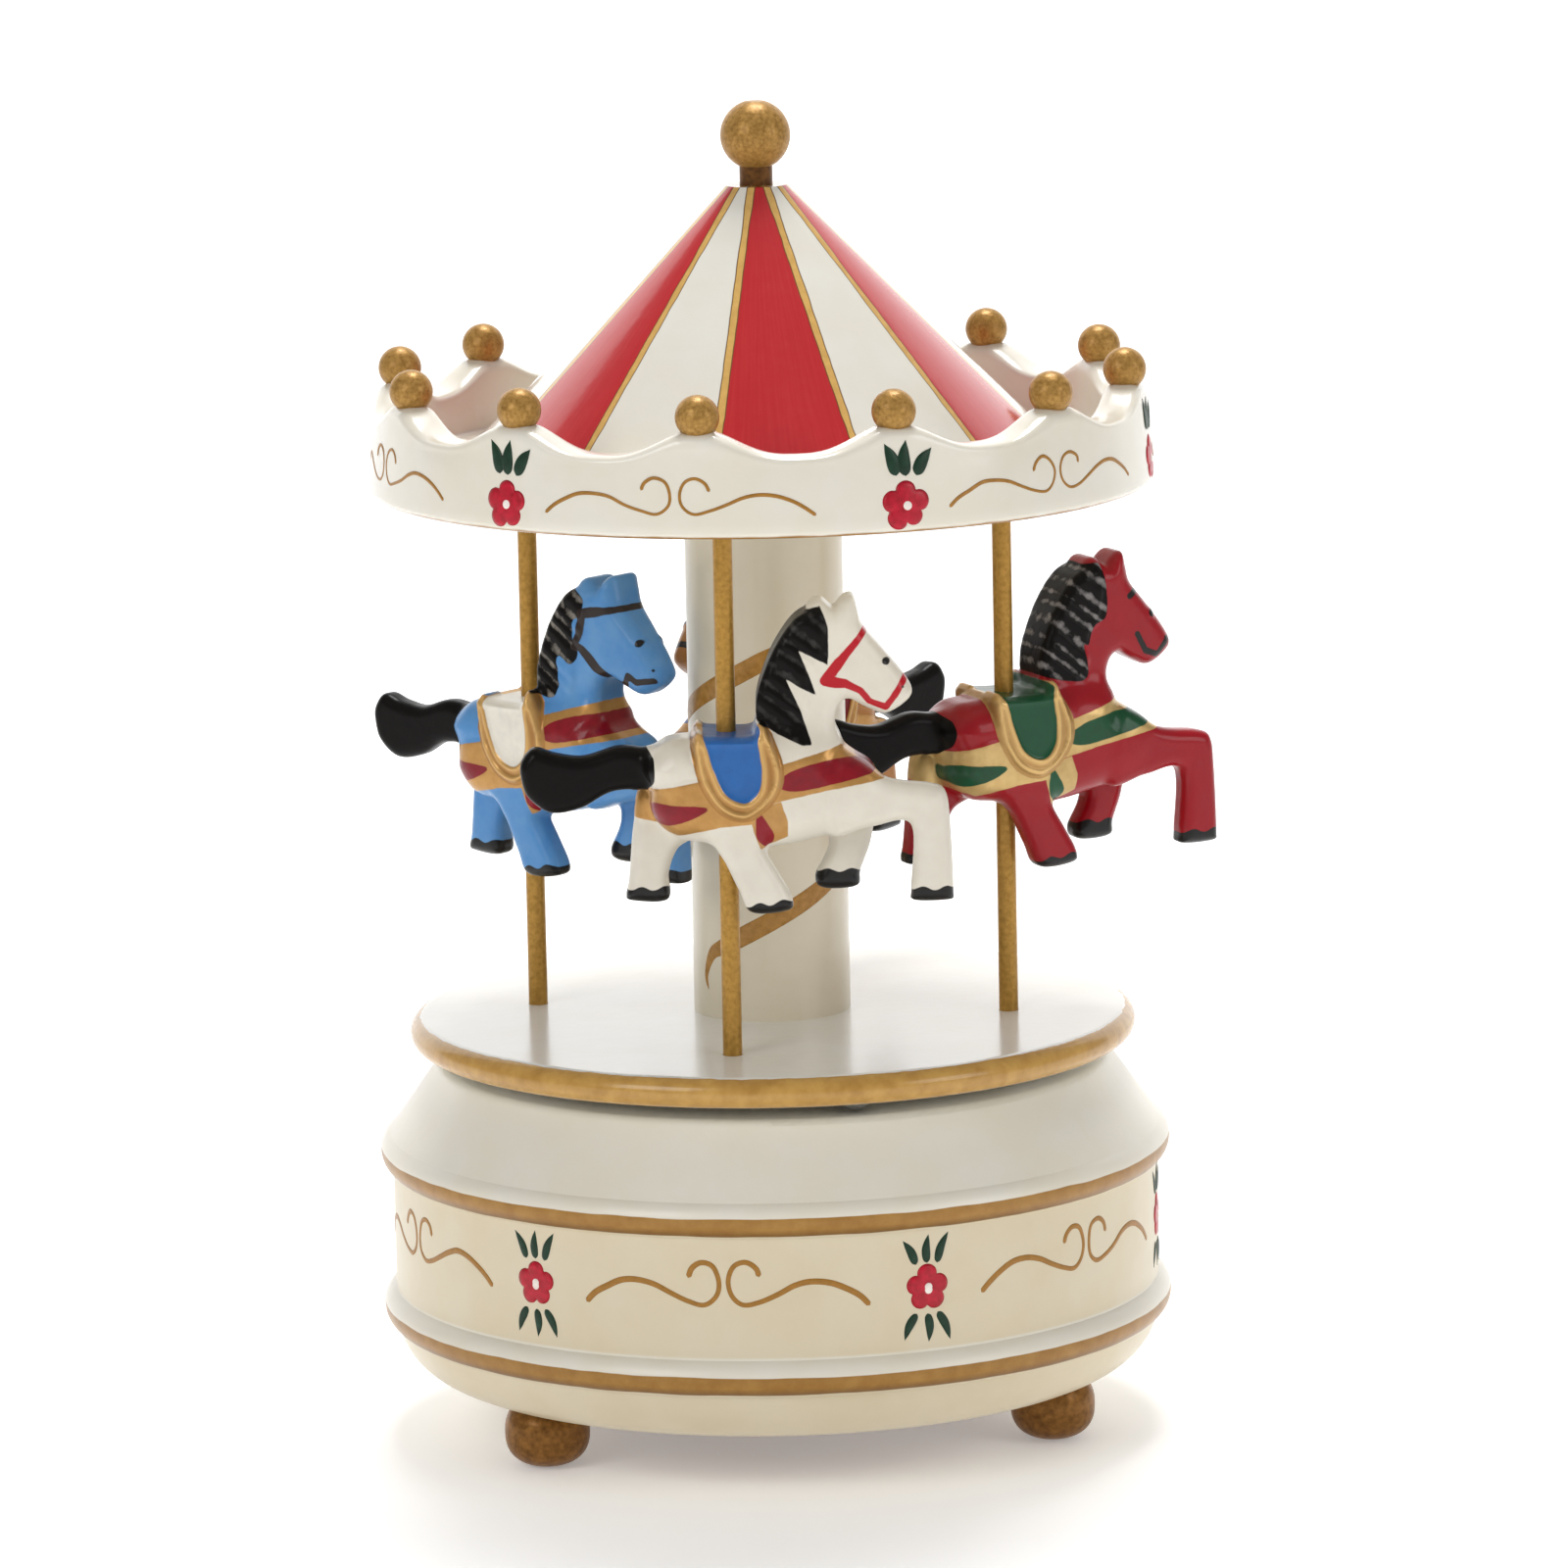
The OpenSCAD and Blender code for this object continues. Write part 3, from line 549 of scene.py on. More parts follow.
HIND_NEAR = [(-2.6, 11), (-1.6, 8.4), (-0.4, 6.4), (1.2, 2.9), (2.8, 0), (7.5, 0.2),
             (8, 1.7), (6.4, 4.8), (4.6, 8), (3.6, 11)]
HIND_FAR = [(-10.4, 15.6), (-12, 11), (-12.8, 3.4), (-13.2, 1.4), (-12.6, 0.6), (-7.9, 0.6),
            (-7.7, 4.1), (-6.5, 7.2), (-4.2, 9), (-3.2, 13)]
TAIL = [(-8.6, 20.4), (-11.2, 21), (-14, 21.2), (-18.2, 20), (-21.7, 20.4), (-24.6, 21.2),
        (-26.2, 19.4), (-26.3, 17.4), (-25.4, 14.8), (-22.5, 12.8), (-18.6, 13.4),
        (-14.7, 15.4), (-9, 16.2)]
SADDLE = [(-4.4, 22.2), (-3.9, 19), (-3.0, 16.2), (-1.0, 13.4), (1.9, 12.2), (4.6, 13.4),
          (6.6, 16), (7.0, 18.6), (6.3, 21.2), (5.0, 24.0), (3.9, 24.2), (3.0, 22.9),
          (-2.6, 23.0), (-3.8, 23.3)]
CLOTH = [(-2.7, 24.5), (-2.3, 21), (-1.5, 18.3), (-0.2, 15.7), (2.2, 14.5), (4.0, 16.0),
         (4.4, 18.8), (4.0, 22), (3.7, 24.5)]
CREST = [(12.1, 38.7), (13.2, 36.5), (12.9, 33.5), (12.4, 31.2), (11, 29.6), (11.2, 27),
         (10.6, 24), (10, 22.2), (7.4, 22.4), (4.3, 23.6), (3.9, 27.2), (5.1, 31.2),
         (6.8, 34.7), (9.2, 37.7)]
MANE = [(12.2, 39.2), (12.7, 38), (13.2, 36.6), (13.2, 34), (13.1, 31.6), (11.4, 32.6),
        (9.4, 33.6), (10.6, 30.6), (11.5, 27.8), (9.5, 28.8), (7.7, 30), (9.5, 26),
        (10.9, 21.6), (9.6, 21.6), (6.5, 23), (3.4, 25.1), (3.0, 27.4), (4.4, 31.2),
        (6.2, 35), (8.8, 38.2)]
STRAP_REAR = [(-12, 15.9), (-9.1, 16.2), (-3.2, 17.4), (-0.5, 14.2), (3.4, 12.6), (3.1, 11.7),
              (-1, 11.3), (-6.4, 10.1), (-8.8, 11), (-12, 11.6)]
STRAP_FORE = [(5.6, 18.9), (10, 20.2), (14.5, 21.4), (17.2, 19.7), (21, 17.9),
              (20, 17.1), (14.6, 16.2), (10.5, 15.4), (5.6, 14.3)]
GEM_REAR = [(-9.6, 14.3), (-6.8, 14.3), (-2.6, 13.9), (-4.5, 12.5), (-7.9, 11.5), (-9.6, 12.4)]
GEM_FORE = [(6.2, 16.9), (9.4, 18.9), (15.7, 19.9), (19.0, 18.3), (14.9, 17.0), (8.6, 15.8)]
PENDANT = [(2.6, 13.2), (6.8, 14.6), (7.6, 12), (7.6, 9.9), (4.1, 8.2), (3.3, 10.6)]
PENDANT_GEM = [(3.8, 13.2), (5.0, 11.8), (5.9, 9.9), (4.9, 8.6), (3.6, 10)]
# each horse's bridle lines, its mane and how much higher its breast strap is painted
ROUND_REINS = [[(17.9, 35.9), (15.2, 32.6), (12.6, 29.6), (15.3, 29.2), (17.2, 28.2),
                (18.3, 26.8), (20.4, 25.9), (21.9, 27.9), (23.3, 30.2)]]
SQUARE_REINS = [[(17.8, 36.1), (12.1, 35.3), (11.7, 32.8), (10.8, 30.8)],
                [(11.2, 31.0), (13.5, 29.0), (16.2, 26.5), (18.3, 26.1), (19.0, 27.5),
                 (20.2, 26.7), (22.6, 27.0)]]
DASH_REINS = [[(18.4, 35.2), (16.9, 34.4)],
              [(18.0, 29.3), (19.3, 27.0), (21.2, 26.3), (22.9, 28.2)]]
SHORT_MANE = [(10.8, 38.4), (12.4, 37.2), (12.0, 34.8), (10.9, 34.4), (10.6, 32.6), (11.2, 29.9),
              (10.0, 28.4), (8.0, 29.3), (8.1, 25.2), (6.6, 23.7), (4.4, 24.5), (3.0, 25.4),
              (3.0, 27.4), (4.4, 31.2), (6.2, 35), (8.8, 38.2)]
BLUNT_MANE = [(12.2, 39.2), (13.0, 37.8), (13.4, 35.2), (13.2, 32.0), (11.5, 31.0), (10.6, 28.6),
              (9.8, 28.6), (10.4, 24.6), (7.8, 24.0), (3.0, 25.4), (3.0, 27.4), (4.4, 31.2),
              (6.2, 35), (8.8, 38.2)]
BRUSH = {"white": (ROUND_REINS, MANE, 0.0), "red": (DASH_REINS, BLUNT_MANE, 0.0),
         "tan": (ROUND_REINS, MANE, 0.0), "blue": (SQUARE_REINS, SHORT_MANE, 2.4)}
STEP = 0.3


def outline_distance(outline, x, h, rounds=True):
    """Signed distance to an outline, negative inside: the least distance to any of its sides,
    with the sign from how many sides a level line crosses. The outline is first carried
    through its corners by a smooth curve."""
    p = np.array(outline, float)
    if rounds:
        p = curve_steps(np.roll(p, 1, 0), p, np.roll(p, -1, 0), np.roll(p, -2, 0), 8)
    least, crossings = np.full(x.shape, 1e9), np.zeros(x.shape, int)
    for a, b in zip(p, np.roll(p, -1, 0)):
        d = b - a
        t = np.clip(((x - a[0]) * d[0] + (h - a[1]) * d[1]) / max(d @ d, 1e-12), 0, 1)
        least = np.minimum(least, np.hypot(x - a[0] - t * d[0], h - a[1] - t * d[1]))
        if abs(d[1]) > 1e-9:
            cut = a[0] + (h - a[1]) / d[1] * d[0]
            crossings += ((a[1] > h) != (b[1] > h)) & (x < cut)
    return np.where(crossings % 2 == 1, -least, least)


def line_distance(points, x, h):
    """Least distance to an open line of several straight parts."""
    least = np.full(x.shape, 1e9)
    for a, b in zip(np.array(points[:-1], float), np.array(points[1:], float)):
        d = b - a
        t = np.clip(((x - a[0]) * d[0] + (h - a[1]) * d[1]) / (d @ d), 0, 1)
        least = np.minimum(least, np.hypot(x - a[0] - t * d[0], h - a[1] - t * d[1]))
    return least


def cushion(d, across, half, round_by):
    """A flat outline made a rounded body: the outline's distance and the distance past the
    half thickness meet in a quarter circle of the given radius."""
    a, b = d + round_by, across - half + round_by
    corner = np.hypot(np.maximum(a, 0), np.maximum(b, 0))
    return corner + np.minimum(np.maximum(a, b), 0) - round_by


def melt(a, b, k):
    """Union of two bodies with a fillet: the lesser, lowered where the two are within k."""
    near = np.maximum(k - np.abs(a - b), 0) / k
    return np.minimum(a, b) - near * near * k / 4


def locks(x, h):
    """How many locks of hair lie above a point: level lines that slant back and sway a little."""
    return (x * 0.62 + h * 0.78 + 0.35 * np.sin(h * 0.8 + x * 0.5)) / 1.9


def rims(saddle, cloth, wide):
    """Near one on two raised rims: inside the saddle's edge and outside the cloth's."""
    return np.exp(-(((saddle + 0.62) / wide) ** 2)) + np.exp(-(((cloth - 0.35) / wide) ** 2))


def horse_field(x, y, h):
    """The carved horse as one field, negative inside, on a grid of points."""
    flat_x, flat_h = np.broadcast_arrays(x[:, 0], h[0])
    far = lambda outline: outline_distance(outline, flat_x, flat_h)[:, None]
    out = np.abs(y)
    barrel = cushion(far(BARREL), out, 6.0, 4.2)
    slim = np.clip(3.6 - (x - 15) * 0.16, 2.3, 3.6)
    neck = cushion(far(NECK_HEAD), out, slim, 1.9)
    made = melt(barrel, neck, 2.6)
    for outline, side in ((FORE_NEAR, -1), (HIND_NEAR, -1), (FORE_FAR, 1), (HIND_FAR, 1)):
        leg = cushion(far(outline), np.abs(y - side * 3.55), 2.15, 1.55)
        made = melt(made, leg, 1.3)
    made = melt(made, cushion(far(TAIL), out, 1.9, 1.4), 1.2)
    # the mane lies in locks that slant down and back; each is a rounded ridge
    mane = far(CREST)
    lock = 0.22 * np.cos(np.pi * locks(flat_x, flat_h)[:, None]) ** 2 * np.clip(-mane / 1.6, 0, 1)
    made = melt(made, cushion(mane, out, 4.1, 1.3) + lock, 0.25)
    saddle = far(SADDLE)
    made = melt(made, cushion(saddle, out, 6.45, 1.6), 0.5)
    ridge = np.minimum(rims(saddle, far(CLOTH), 0.34), 1)
    made = made - 0.42 * ridge * (saddle < 0.4) * (out > 2.2)
    made = made - 0.14 * np.clip(0.5 - far(STRAP_REAR) / 0.5, 0, 1)
    eye = np.hypot(flat_x - 20.5, flat_h - 31.8)[:, None]
    return made - 0.22 * np.clip(1 - (eye / 0.75) ** 2, 0, 1) * (out > 1.2)


def surface_net(field, start, step):
    """A closed quad mesh of where a field is nothing: one point in each cell that the surface
    passes, at the mean of its edges' crossings, and one quad for each crossed grid edge."""
    shape = np.array(field.shape)
    total, count = np.zeros((*(shape - 1), 3)), np.zeros(shape - 1)
    crossed = []
    for axis in range(3):
        a = np.take(field, np.arange(shape[axis] - 1), axis)
        b = np.take(field, np.arange(1, shape[axis]), axis)
        cross = (a < 0) != (b < 0)
        t = np.where(cross, a / np.where(cross, a - b, 1), 0)
        crossed.append((cross, a < 0))
        u, v = (axis + 1) % 3, (axis + 2) % 3
        for du in (0, 1):
            for dv in (0, 1):
                cut = [slice(None)] * 3
                cut[u] = slice(du, du + shape[u] - 1)
                cut[v] = slice(dv, dv + shape[v] - 1)
                hit = cross[tuple(cut)]
                total[..., axis] += t[tuple(cut)]
                total[..., u] += du * hit
                total[..., v] += dv * hit
                count += hit
    used = count > 0
    number = np.full(used.shape, -1)
    number[used] = np.arange(used.sum())
    points = np.argwhere(used) + total[used] / count[used][:, None]
    quads = []
    for axis, (cross, low_inside) in enumerate(crossed):
        u, v = (axis + 1) % 3, (axis + 2) % 3
        spots = np.argwhere(cross)
        ring = []
        for du, dv in ((-1, -1), (0, -1), (0, 0), (-1, 0)):
            at = spots.copy()
            at[:, u] += du
            at[:, v] += dv
            ring.append(number[tuple(at.T)])
        quad = np.stack(ring, -1)
        turned = low_inside[tuple(spots.T)]
        quads.append(np.where(turned[:, None], quad, quad[:, ::-1]))
    return np.array(start) + points * step, np.concatenate(quads)


def carved_horse():
    """The field of the one carving that all four horses share, and its first corner."""
    x = np.arange(-28.2, 30.4, STEP)
    y = np.arange(-7.8, 7.9, STEP)
    h = np.arange(-1.2, 42.2, STEP)
    field = horse_field(x[:, None, None], y[None, :, None], h[None, None, :])
    return field, (x[0], y[0], h[0])


def paint_distances(x, y, h, reins, hair, lift):
    """For each point the signed distance, in millimetres, to each painted area."""
    out = np.abs(y)
    fore = h - lift
    saddle, cloth = outline_distance(SADDLE, x, h), outline_distance(CLOTH, x, h)
    d = {
        "mane": outline_distance(hair, x, h, hair is not MANE),
        "tail": outline_distance(TAIL, x, h) - 0.3 + np.maximum(x + 10.4, 0),
        "cloth": cloth,
        "border": saddle - 0.25,
        "ridge": rims(saddle, cloth, 0.38),
        "strap": np.minimum(outline_distance(STRAP_REAR, x, h, False),
                            outline_distance(STRAP_FORE, x, fore, False)),
        "gem": np.minimum(outline_distance(GEM_REAR, x, h), outline_distance(GEM_FORE, x, fore)),
        "pendant": outline_distance(PENDANT, x, h, False),
        "pendant_gem": outline_distance(PENDANT_GEM, x, h),
        "rein": np.min([line_distance(line, x, h) for line in reins], 0)
        - 0.42 - 0.3 * np.exp(-(((x - 13.5) / 2) ** 2)),
        "eye": np.minimum(np.hypot(x - 20.5, h - 31.8) - 0.5,
                          np.hypot(x - 22.6, h - 28.4) - 0.2),
        "lock": np.cos(TURN * locks(x, h)),
    }
    # each hoof is black up to its own height, a little higher at the toe
    tops = np.select([x < -5, x < 9.5, (x < 19.5) & (y > 0)],
                     [2.3, 1.1 + 0.12 * (x - 3), 4.2], 2.9)
    d["hoof"] = np.where(h < 6, h - tops - 0.25 * np.sin(x * 2.1), 1.0)
    # the pendant hangs on the outer face of the body alone
    for key in ("pendant", "pendant_gem"):
        d[key] = np.maximum(d[key], 4.4 - out)
    return d


# ------------------------------------------------------------------ settings
def length(name, use, size):
    """A length setting, its default given in millimetres."""
    return FloatProperty(name=name, description=use, default=size * MM, unit="LENGTH",
                         subtype="DISTANCE")


def paint(name, code, use):
    """A colour setting, its default given as a hex code."""
    return FloatVectorProperty(name=name, description=use, subtype="COLOR", size=3,
                               min=0, max=1, default=srgb(code))


class CarouselPaints(bpy.types.PropertyGroup):
    """Colours and moulding heights shared by the turned pieces."""
    cream: paint("Cream", "#DDD3BC", "Warm tint in the enamel of the column and rim")
    cream_aged: paint("Aged cream", "#D6CAB0", "Enamel of the base's wall and bowl")
    off_white: paint("Off white", "#E2DDD0", "Enamel of the shoulder, column and rim")
    white: paint("White", "#E6E4DD", "Lacquer of the platform")
    gold: paint("Gold", "#976A28", "Bronze paint of the rings and scrolls")
    gold_bright: paint("Bright gold", "#C2974E", "Bronze paint where it catches the light")
    # dark gold is also the painted shade along the lower edge of the base's ring gold
    gold_dark: paint("Dark gold", "#5E3A10", "Bronze paint where it is thin or in a groove")
    roof_red: paint("Roof red", "#B80E18", "Red of the roof segments")
    roof_red_thin: paint("Thin roof red", "#CC3030", "Red where the brush left it thin")
    flower: paint("Flower red", "#BE1830", "Red of the petals")
    leaf: paint("Leaf green", "#0E3520", "Green of the leaves")
    ring_high: length("Upper ring", "Height of the upper ring's middle", 37.8)
    ring_low: length("Lower ring", "Height of the lower ring's middle", 17.15)


class CarouselCrown(bpy.types.PropertyGroup):
    """The scalloped rim round the roof."""
    wall: length("Rim wall", "Thickness of the rim's wall", 5.2)
    scallop: length("Scallop", "Depth of the valleys between the beads", 3.1)
    humps: IntProperty(name="Humps", description="How many scallops there are", default=12,
                       min=3, max=24)


class CarouselBrushwork(bpy.types.PropertyGroup):
    """Where the painted flowers and scrolls sit."""
    repeats: IntProperty(name="Repeats", description="Flowers round the base and the rim",
                         default=6, min=1, max=12)
    base_flower_z: length("Base flowers", "Height of their middles", 27.8)
    rim_flower_z: length("Rim flowers", "Height of their middles", 128.5)
    petal_span: length("Petal span", "Width across a flower", 5.8)
    scroll_line: length("Scroll line", "Width of a scroll's stroke", 0.85)
    stripe: length("Column stripe", "Width of the winding stripe", 2.5)
    stripe_rise: length("Stripe rise", "How far it climbs in a turn", 34.6)


class CarouselHorses(bpy.types.PropertyGroup):
    """Coat colours of the four horses."""
    white_coat: paint("White coat", "#DCD6C8", "The white horse")
    red_coat: paint("Red coat", "#980E1A", "The red horse")
    tan_coat: paint("Tan coat", "#B07A44", "The tan horse")
    blue_coat: paint("Blue coat", "#4F88C2", "The blue horse")
    harness: paint("Harness gold", "#BC8E50", "Straps and saddle borders")
    harness_pale: paint("Pale harness gold", "#CBAC72", "Straps of the red horse")
    hair: paint("Hair", "#12100F", "Manes, tails, hooves and eyes")


class CarouselStage(bpy.types.PropertyGroup):
    """The table, the lights and the camera."""
    elevation: FloatProperty(name="Elevation", description="How far the camera looks down",
                             default=math.radians(9.9), unit="ROTATION", subtype="ANGLE")
    distance: FloatProperty(name="Distance", description="From the camera to the middle",
                            default=1.2, unit="LENGTH", subtype="DISTANCE")
    tilt: FloatProperty(name="Tilt", description="Turn of the camera about its own axis",
                        default=math.radians(-1.13), unit="ROTATION", subtype="ANGLE")
    lens: FloatProperty(name="Lens", description="Focal length on a 36 mm frame, in mm",
                        default=210.06, min=1, max=500)
    floor_tint: paint("Floor", "#FBFBFB", "The plain pale floor")


# ------------------------------------------------------------------ operators
class CAROUSEL_OT_turned_wood(bpy.types.Operator):
    """Paints the turned pieces that keep their shape: base, platform, column, roof, poles"""
    bl_idname = "carousel.turned_wood"
    bl_label = "Turned wood"

    def execute(self, context):
        p = context.scene.carousel_paints
        base, deck = cream_enamel_base(p), white_lacquer(p)
        column, roof = cream_column_paint(p), roof_enamel(p)
        neck = gold_paint("gold_brown_neck", colour("#6B4520"), colour("#3E250E"),
                          0.9, 0.35, 0.03)
        beads = gold_paint("gold_beads", colour("#B58C4C"), colour("#8A6430"),
                           0.5, 0.36, 0.03)
        poles = gold_paint("gold_poles", colour("#B58A42"), colour("#967032"), 0.7, 0.3, 0.012)
        for name, node in NODES.items():
            for start, material in (("base_shell", base), ("platform", deck),
                                    ("column", column), ("cone_roof", roof),
                                    ("crown_bead", beads), ("finial_ball", beads),
                                    ("finial_neck", neck), ("pole_", poles)):
                if name.startswith(start):
                    dress(node, material)
        return {"FINISHED"}


class CAROUSEL_OT_feet(bpy.types.Operator):
    """Turns the three ball feet, each with a flat sole and straight flanks"""
    bl_idname = "carousel.feet"
    bl_label = "Feet"

    def execute(self, context):
        # radius and height follow a rounded square: each to the power 2.5 adds up to one
        t = np.linspace(-0.5 * np.pi, 0.5 * np.pi, 40)
        curve = lambda v: np.sign(v) * np.abs(v) ** (2 / 2.5)
        brown = gold_paint("gold_brown_feet", colour("#8E6230"), colour("#5E3C18"),
                           0.9, 0.34, 0.03)
        for k in (1, 2, 3):
            low, high = span(f"foot_{k}")
            half = (high - low)[:2].min() / 2
            middle = (low + high)[:2] / 2
            height = Z_BASE + 1.2
            shape = np.stack([half * curve(np.cos(t)),
                              height * (0.5 + 0.5 * curve(np.sin(t)))], -1)
            shape[0, 0] = shape[-1, 0] = 0
            points, faces = revolved(shape, 72)
            finish_piece(fresh_object(f"ball_foot_{k}", points + [*middle, 0], faces), "base",
                         brown, [f"foot_{k}"])
        return {"FINISHED"}


class CAROUSEL_OT_movement(bpy.types.Operator):
    """Gives the hidden movement, its screws and the cover their metals and board"""
    bl_idname = "carousel.movement"
    bl_label = "Movement"

    def execute(self, context):
        steel = turned_metal("turned_steel", colour("#B4B6B9"), colour("#8D9094"), 0.28)
        brass = turned_metal("bright_brass", colour("#C9A45A"), colour("#9A7430"), 0.3)
        spring = turned_metal("ground_spring_steel", colour("#8E939B"), colour("#6E737C"),
                              0.35, 0.2)
        zinc, board = zinc_casting(), hardboard()
        kinds = {"steel": steel, "brass": brass, "spring_steel": spring,
                 "zinc_casting": zinc, "hardboard": board}
        slots = {part["node"]: part["material_slot"] for part in frame["record"]["subparts"]}
        for name, node in NODES.items():
            if slots.get(name) in kinds:
                dress(node, kinds[slots[name]])
        return {"FINISHED"}


class CAROUSEL_OT_rim(bpy.types.Operator):
    """Makes the scalloped rim and the floor under the roof as one turned and carved piece"""
    bl_idname = "carousel.rim"
    bl_label = "Scalloped rim"

    def execute(self, context):
        s, p = context.scene.carousel_crown, context.scene.carousel_paints
        points, faces = rim_surface(s.wall / MM, s.scallop / MM, s.humps)
        finish_piece(fresh_object("scalloped_rim", points, faces), "carousel",
                     cream_enamel_crown(p), ["canopy"])
        return {"FINISHED"}


def rim_surface(wall, scallop, humps, sides=1080):
    """A closed section (radius, height) turned about the axis. Every height above the floor is
    stretched so that the top follows the scallops: a raised cosine with its broad part in the
    valleys and its peak, which bears a bead, narrow."""
    low, top = Z_CAN, Z_RIM + 0.13
    inner, floor, corner = CAN_R - RIM_TAPER - wall, Z_FLOOR, 0.9
    bend = np.linspace(0, np.pi, 17)
    lip_r, lip_c = wall / 2, (inner + CAN_R - RIM_TAPER) / 2
    profile = [(0, low), (COLUMN_R * 0.5, low), (inner - 4, low), (CAN_R - corner, low)]
    profile += [(CAN_R - corner + corner * np.sin(t), low + corner - corner * np.cos(t))
                for t in np.linspace(0.3, np.pi / 2, 6)]
    profile += [(CAN_R - RIM_TAPER * t, low + corner + (top - 2.3 - low - corner) * t)
                for t in np.linspace(0.1, 0.98, 12)]
    profile += [(lip_c + lip_r * np.sign(np.cos(t)) * abs(np.cos(t)) ** 0.7,
                 top - 1.9 + 1.9 * np.sin(t) ** 0.7) for t in bend]
    profile += [(inner, z) for z in np.linspace(top - 2.4, floor + 0.8, 8)]
    profile += [(inner - 0.8 + 0.8 * np.cos(t), floor + 0.8 - 0.8 * np.sin(t))
                for t in np.linspace(0.3, np.pi / 2, 5)]
    profile += [(ROOF_R - 1, floor), (COLUMN_R * 0.5, floor), (0, floor)]
    profile = np.array(profile)
    points, faces = revolved(profile, sides)
    a = np.arctan2(points[:, 1], points[:, 0])
    swing = 0.5 + 0.5 * np.cos((a - PHASE) * humps)
    dip = scallop * (1 - np.minimum(1.06 * swing, 1) ** 1.5)
    share = np.clip((points[:, 2] - floor - 1) / (top - floor - 1), 0, 1) ** 1.5
    points[:, 2] -= dip * share * (np.hypot(points[:, 0], points[:, 1]) > inner - 0.1)
    return points, faces


class CAROUSEL_OT_brushwork(bpy.types.Operator):
    """Paints the flowers, leaves and scrolls on the base and the rim, and the column's stripe"""
    bl_idname = "carousel.brushwork"
    bl_label = "Brushwork"

    def execute(self, context):
        b, p = context.scene.carousel_brushwork, context.scene.carousel_paints
        red = brush_paint("enamel_red_petals", colour(p.flower), colour("#94101F"))
        white = brush_paint("enamel_white_dots", colour("#F4EEE6"), colour("#E6D6CC"))
        green = brush_paint("enamel_green_leaves", colour(p.leaf), colour("#0A2412"), 0.4)
        gold = brush_paint("bronze_scrolls", colour(p.gold), colour("#A87630"), 0.4)
        paints = {"petals": red, "hearts": white, "leaves": green, "scrolls": gold}
        for where, body, z0, size, rows in (
                ("base", "base", b.base_flower_z / MM, b.petal_span / MM, 2),
                ("rim", "carousel", b.rim_flower_z / MM, b.petal_span / MM * 1.03, 1)):
            jitter = np.random.default_rng(7 if where == "base" else 11)
            radius = (lambda v: WALL_R + 0 * v) if where == "base" else (
                lambda v: CAN_R - RIM_TAPER * np.clip(
                    (v - Z_CAN - 0.9) / (Z_RIM - 2.3 - Z_CAN), 0, 1))
            kinds = {key: [] for key in paints}
            for k in range(b.repeats):
                f = math.radians(-90 - (37.8 if where == "base" else 39.2) + 360 / b.repeats * k)
                wrap = drum_wrap(f, radius)
                tall = 0.9 if where == "base" else 1.04
                kinds["petals"].append(blossom(wrap, (0, z0), size / 2, math.radians(90), jitter))
                kinds["hearts"].append(daub((0.1, z0), lambda a, t=tall: (
                    0.55 + 0.28 * (t < 1) * np.abs(np.sin(a)) + 0.12 * (t > 1)), 0.34, wrap, 30))
                leaves = ([((-1.5, 3.2), (-3.2, 6.6)), ((0, 3.3), (0.1, 6.9)),
                           ((1.4, 3.2), (3.1, 6.9))] if where == "base" else
                          [((-1.2, 3.8), (-2.7, 7.9)), ((0.1, 3.7), (0.4, 8.0)),
                           ((1.5, 3.7), (3.9, 6.9))])
                for foot, tip in leaves:
                    for way in ((1, -1) if rows == 2 else (1,)):
                        lean = jitter.normal(0, 0.15, 2)
                        kinds["leaves"].append(leaf(
                            wrap, (foot[0], z0 + way * foot[1]),
                            (tip[0] + lean[0], z0 + way * (tip[1] + lean[1])),
                            1.05 if rows == 2 else 1.55, 0.06 * np.sign(foot[0] + 0.01)))
                g = math.radians(-90 - 7.8 + 360 / b.repeats * k) if where == "base" else (
                    math.radians(-90 - 12.4 + 360 / b.repeats * k))
                low, scale, thick = ((27.0, (1, 1), b.scroll_line / MM) if where == "base" else
                                     (128.4, (0.95, 0.8), b.scroll_line / MM * 0.62))
                kinds["scrolls"] += scroll_pair(drum_wrap(g, radius), low, scale, thick, jitter)
            for key, material in paints.items():
                points, faces = joined(kinds[key])
                finish_piece(fresh_object(f"{where}_{key}", points, faces), body,
                             material)
        # the stripe winds up the column as one long stroke with a small hook at its foot,
        # and lies flatter after its first turn
        rise = b.stripe_rise / MM / (TURN * COLUMN_R)
        flatter, turn, stripe_foot = 0.66, TURN * COLUMN_R, Z_TOP + 13.3
        ends = turn + ((Z_CAN + 1 - stripe_foot) / rise - turn) / flatter
        u = np.linspace(-8.6, ends, 90)
        climb = np.minimum(u, turn) + flatter * np.maximum(u - turn, 0)
        hook = [(-9.6, Z_TOP + 3.6), (-10.1, Z_TOP + 5.2), (-9.7, Z_TOP + 6.9)]
        path = np.concatenate([hook, np.stack([u, stripe_foot + climb * rise], -1)])
        points, faces = brush_stroke(
            path, lambda t: b.stripe / MM * np.clip(0.12 + 15 * t, 0.12, 1), 0.09,
            drum_wrap(math.radians(-90), lambda v: COLUMN_R + 0 * v), 420, 16)
        stripe = fresh_object("column_stripe", points, faces)
        finish_piece(stripe, "carousel",
                     brush_paint("bronze_stripe", colour("#B58542"), colour(p.gold), 0.33))
        return {"FINISHED"}


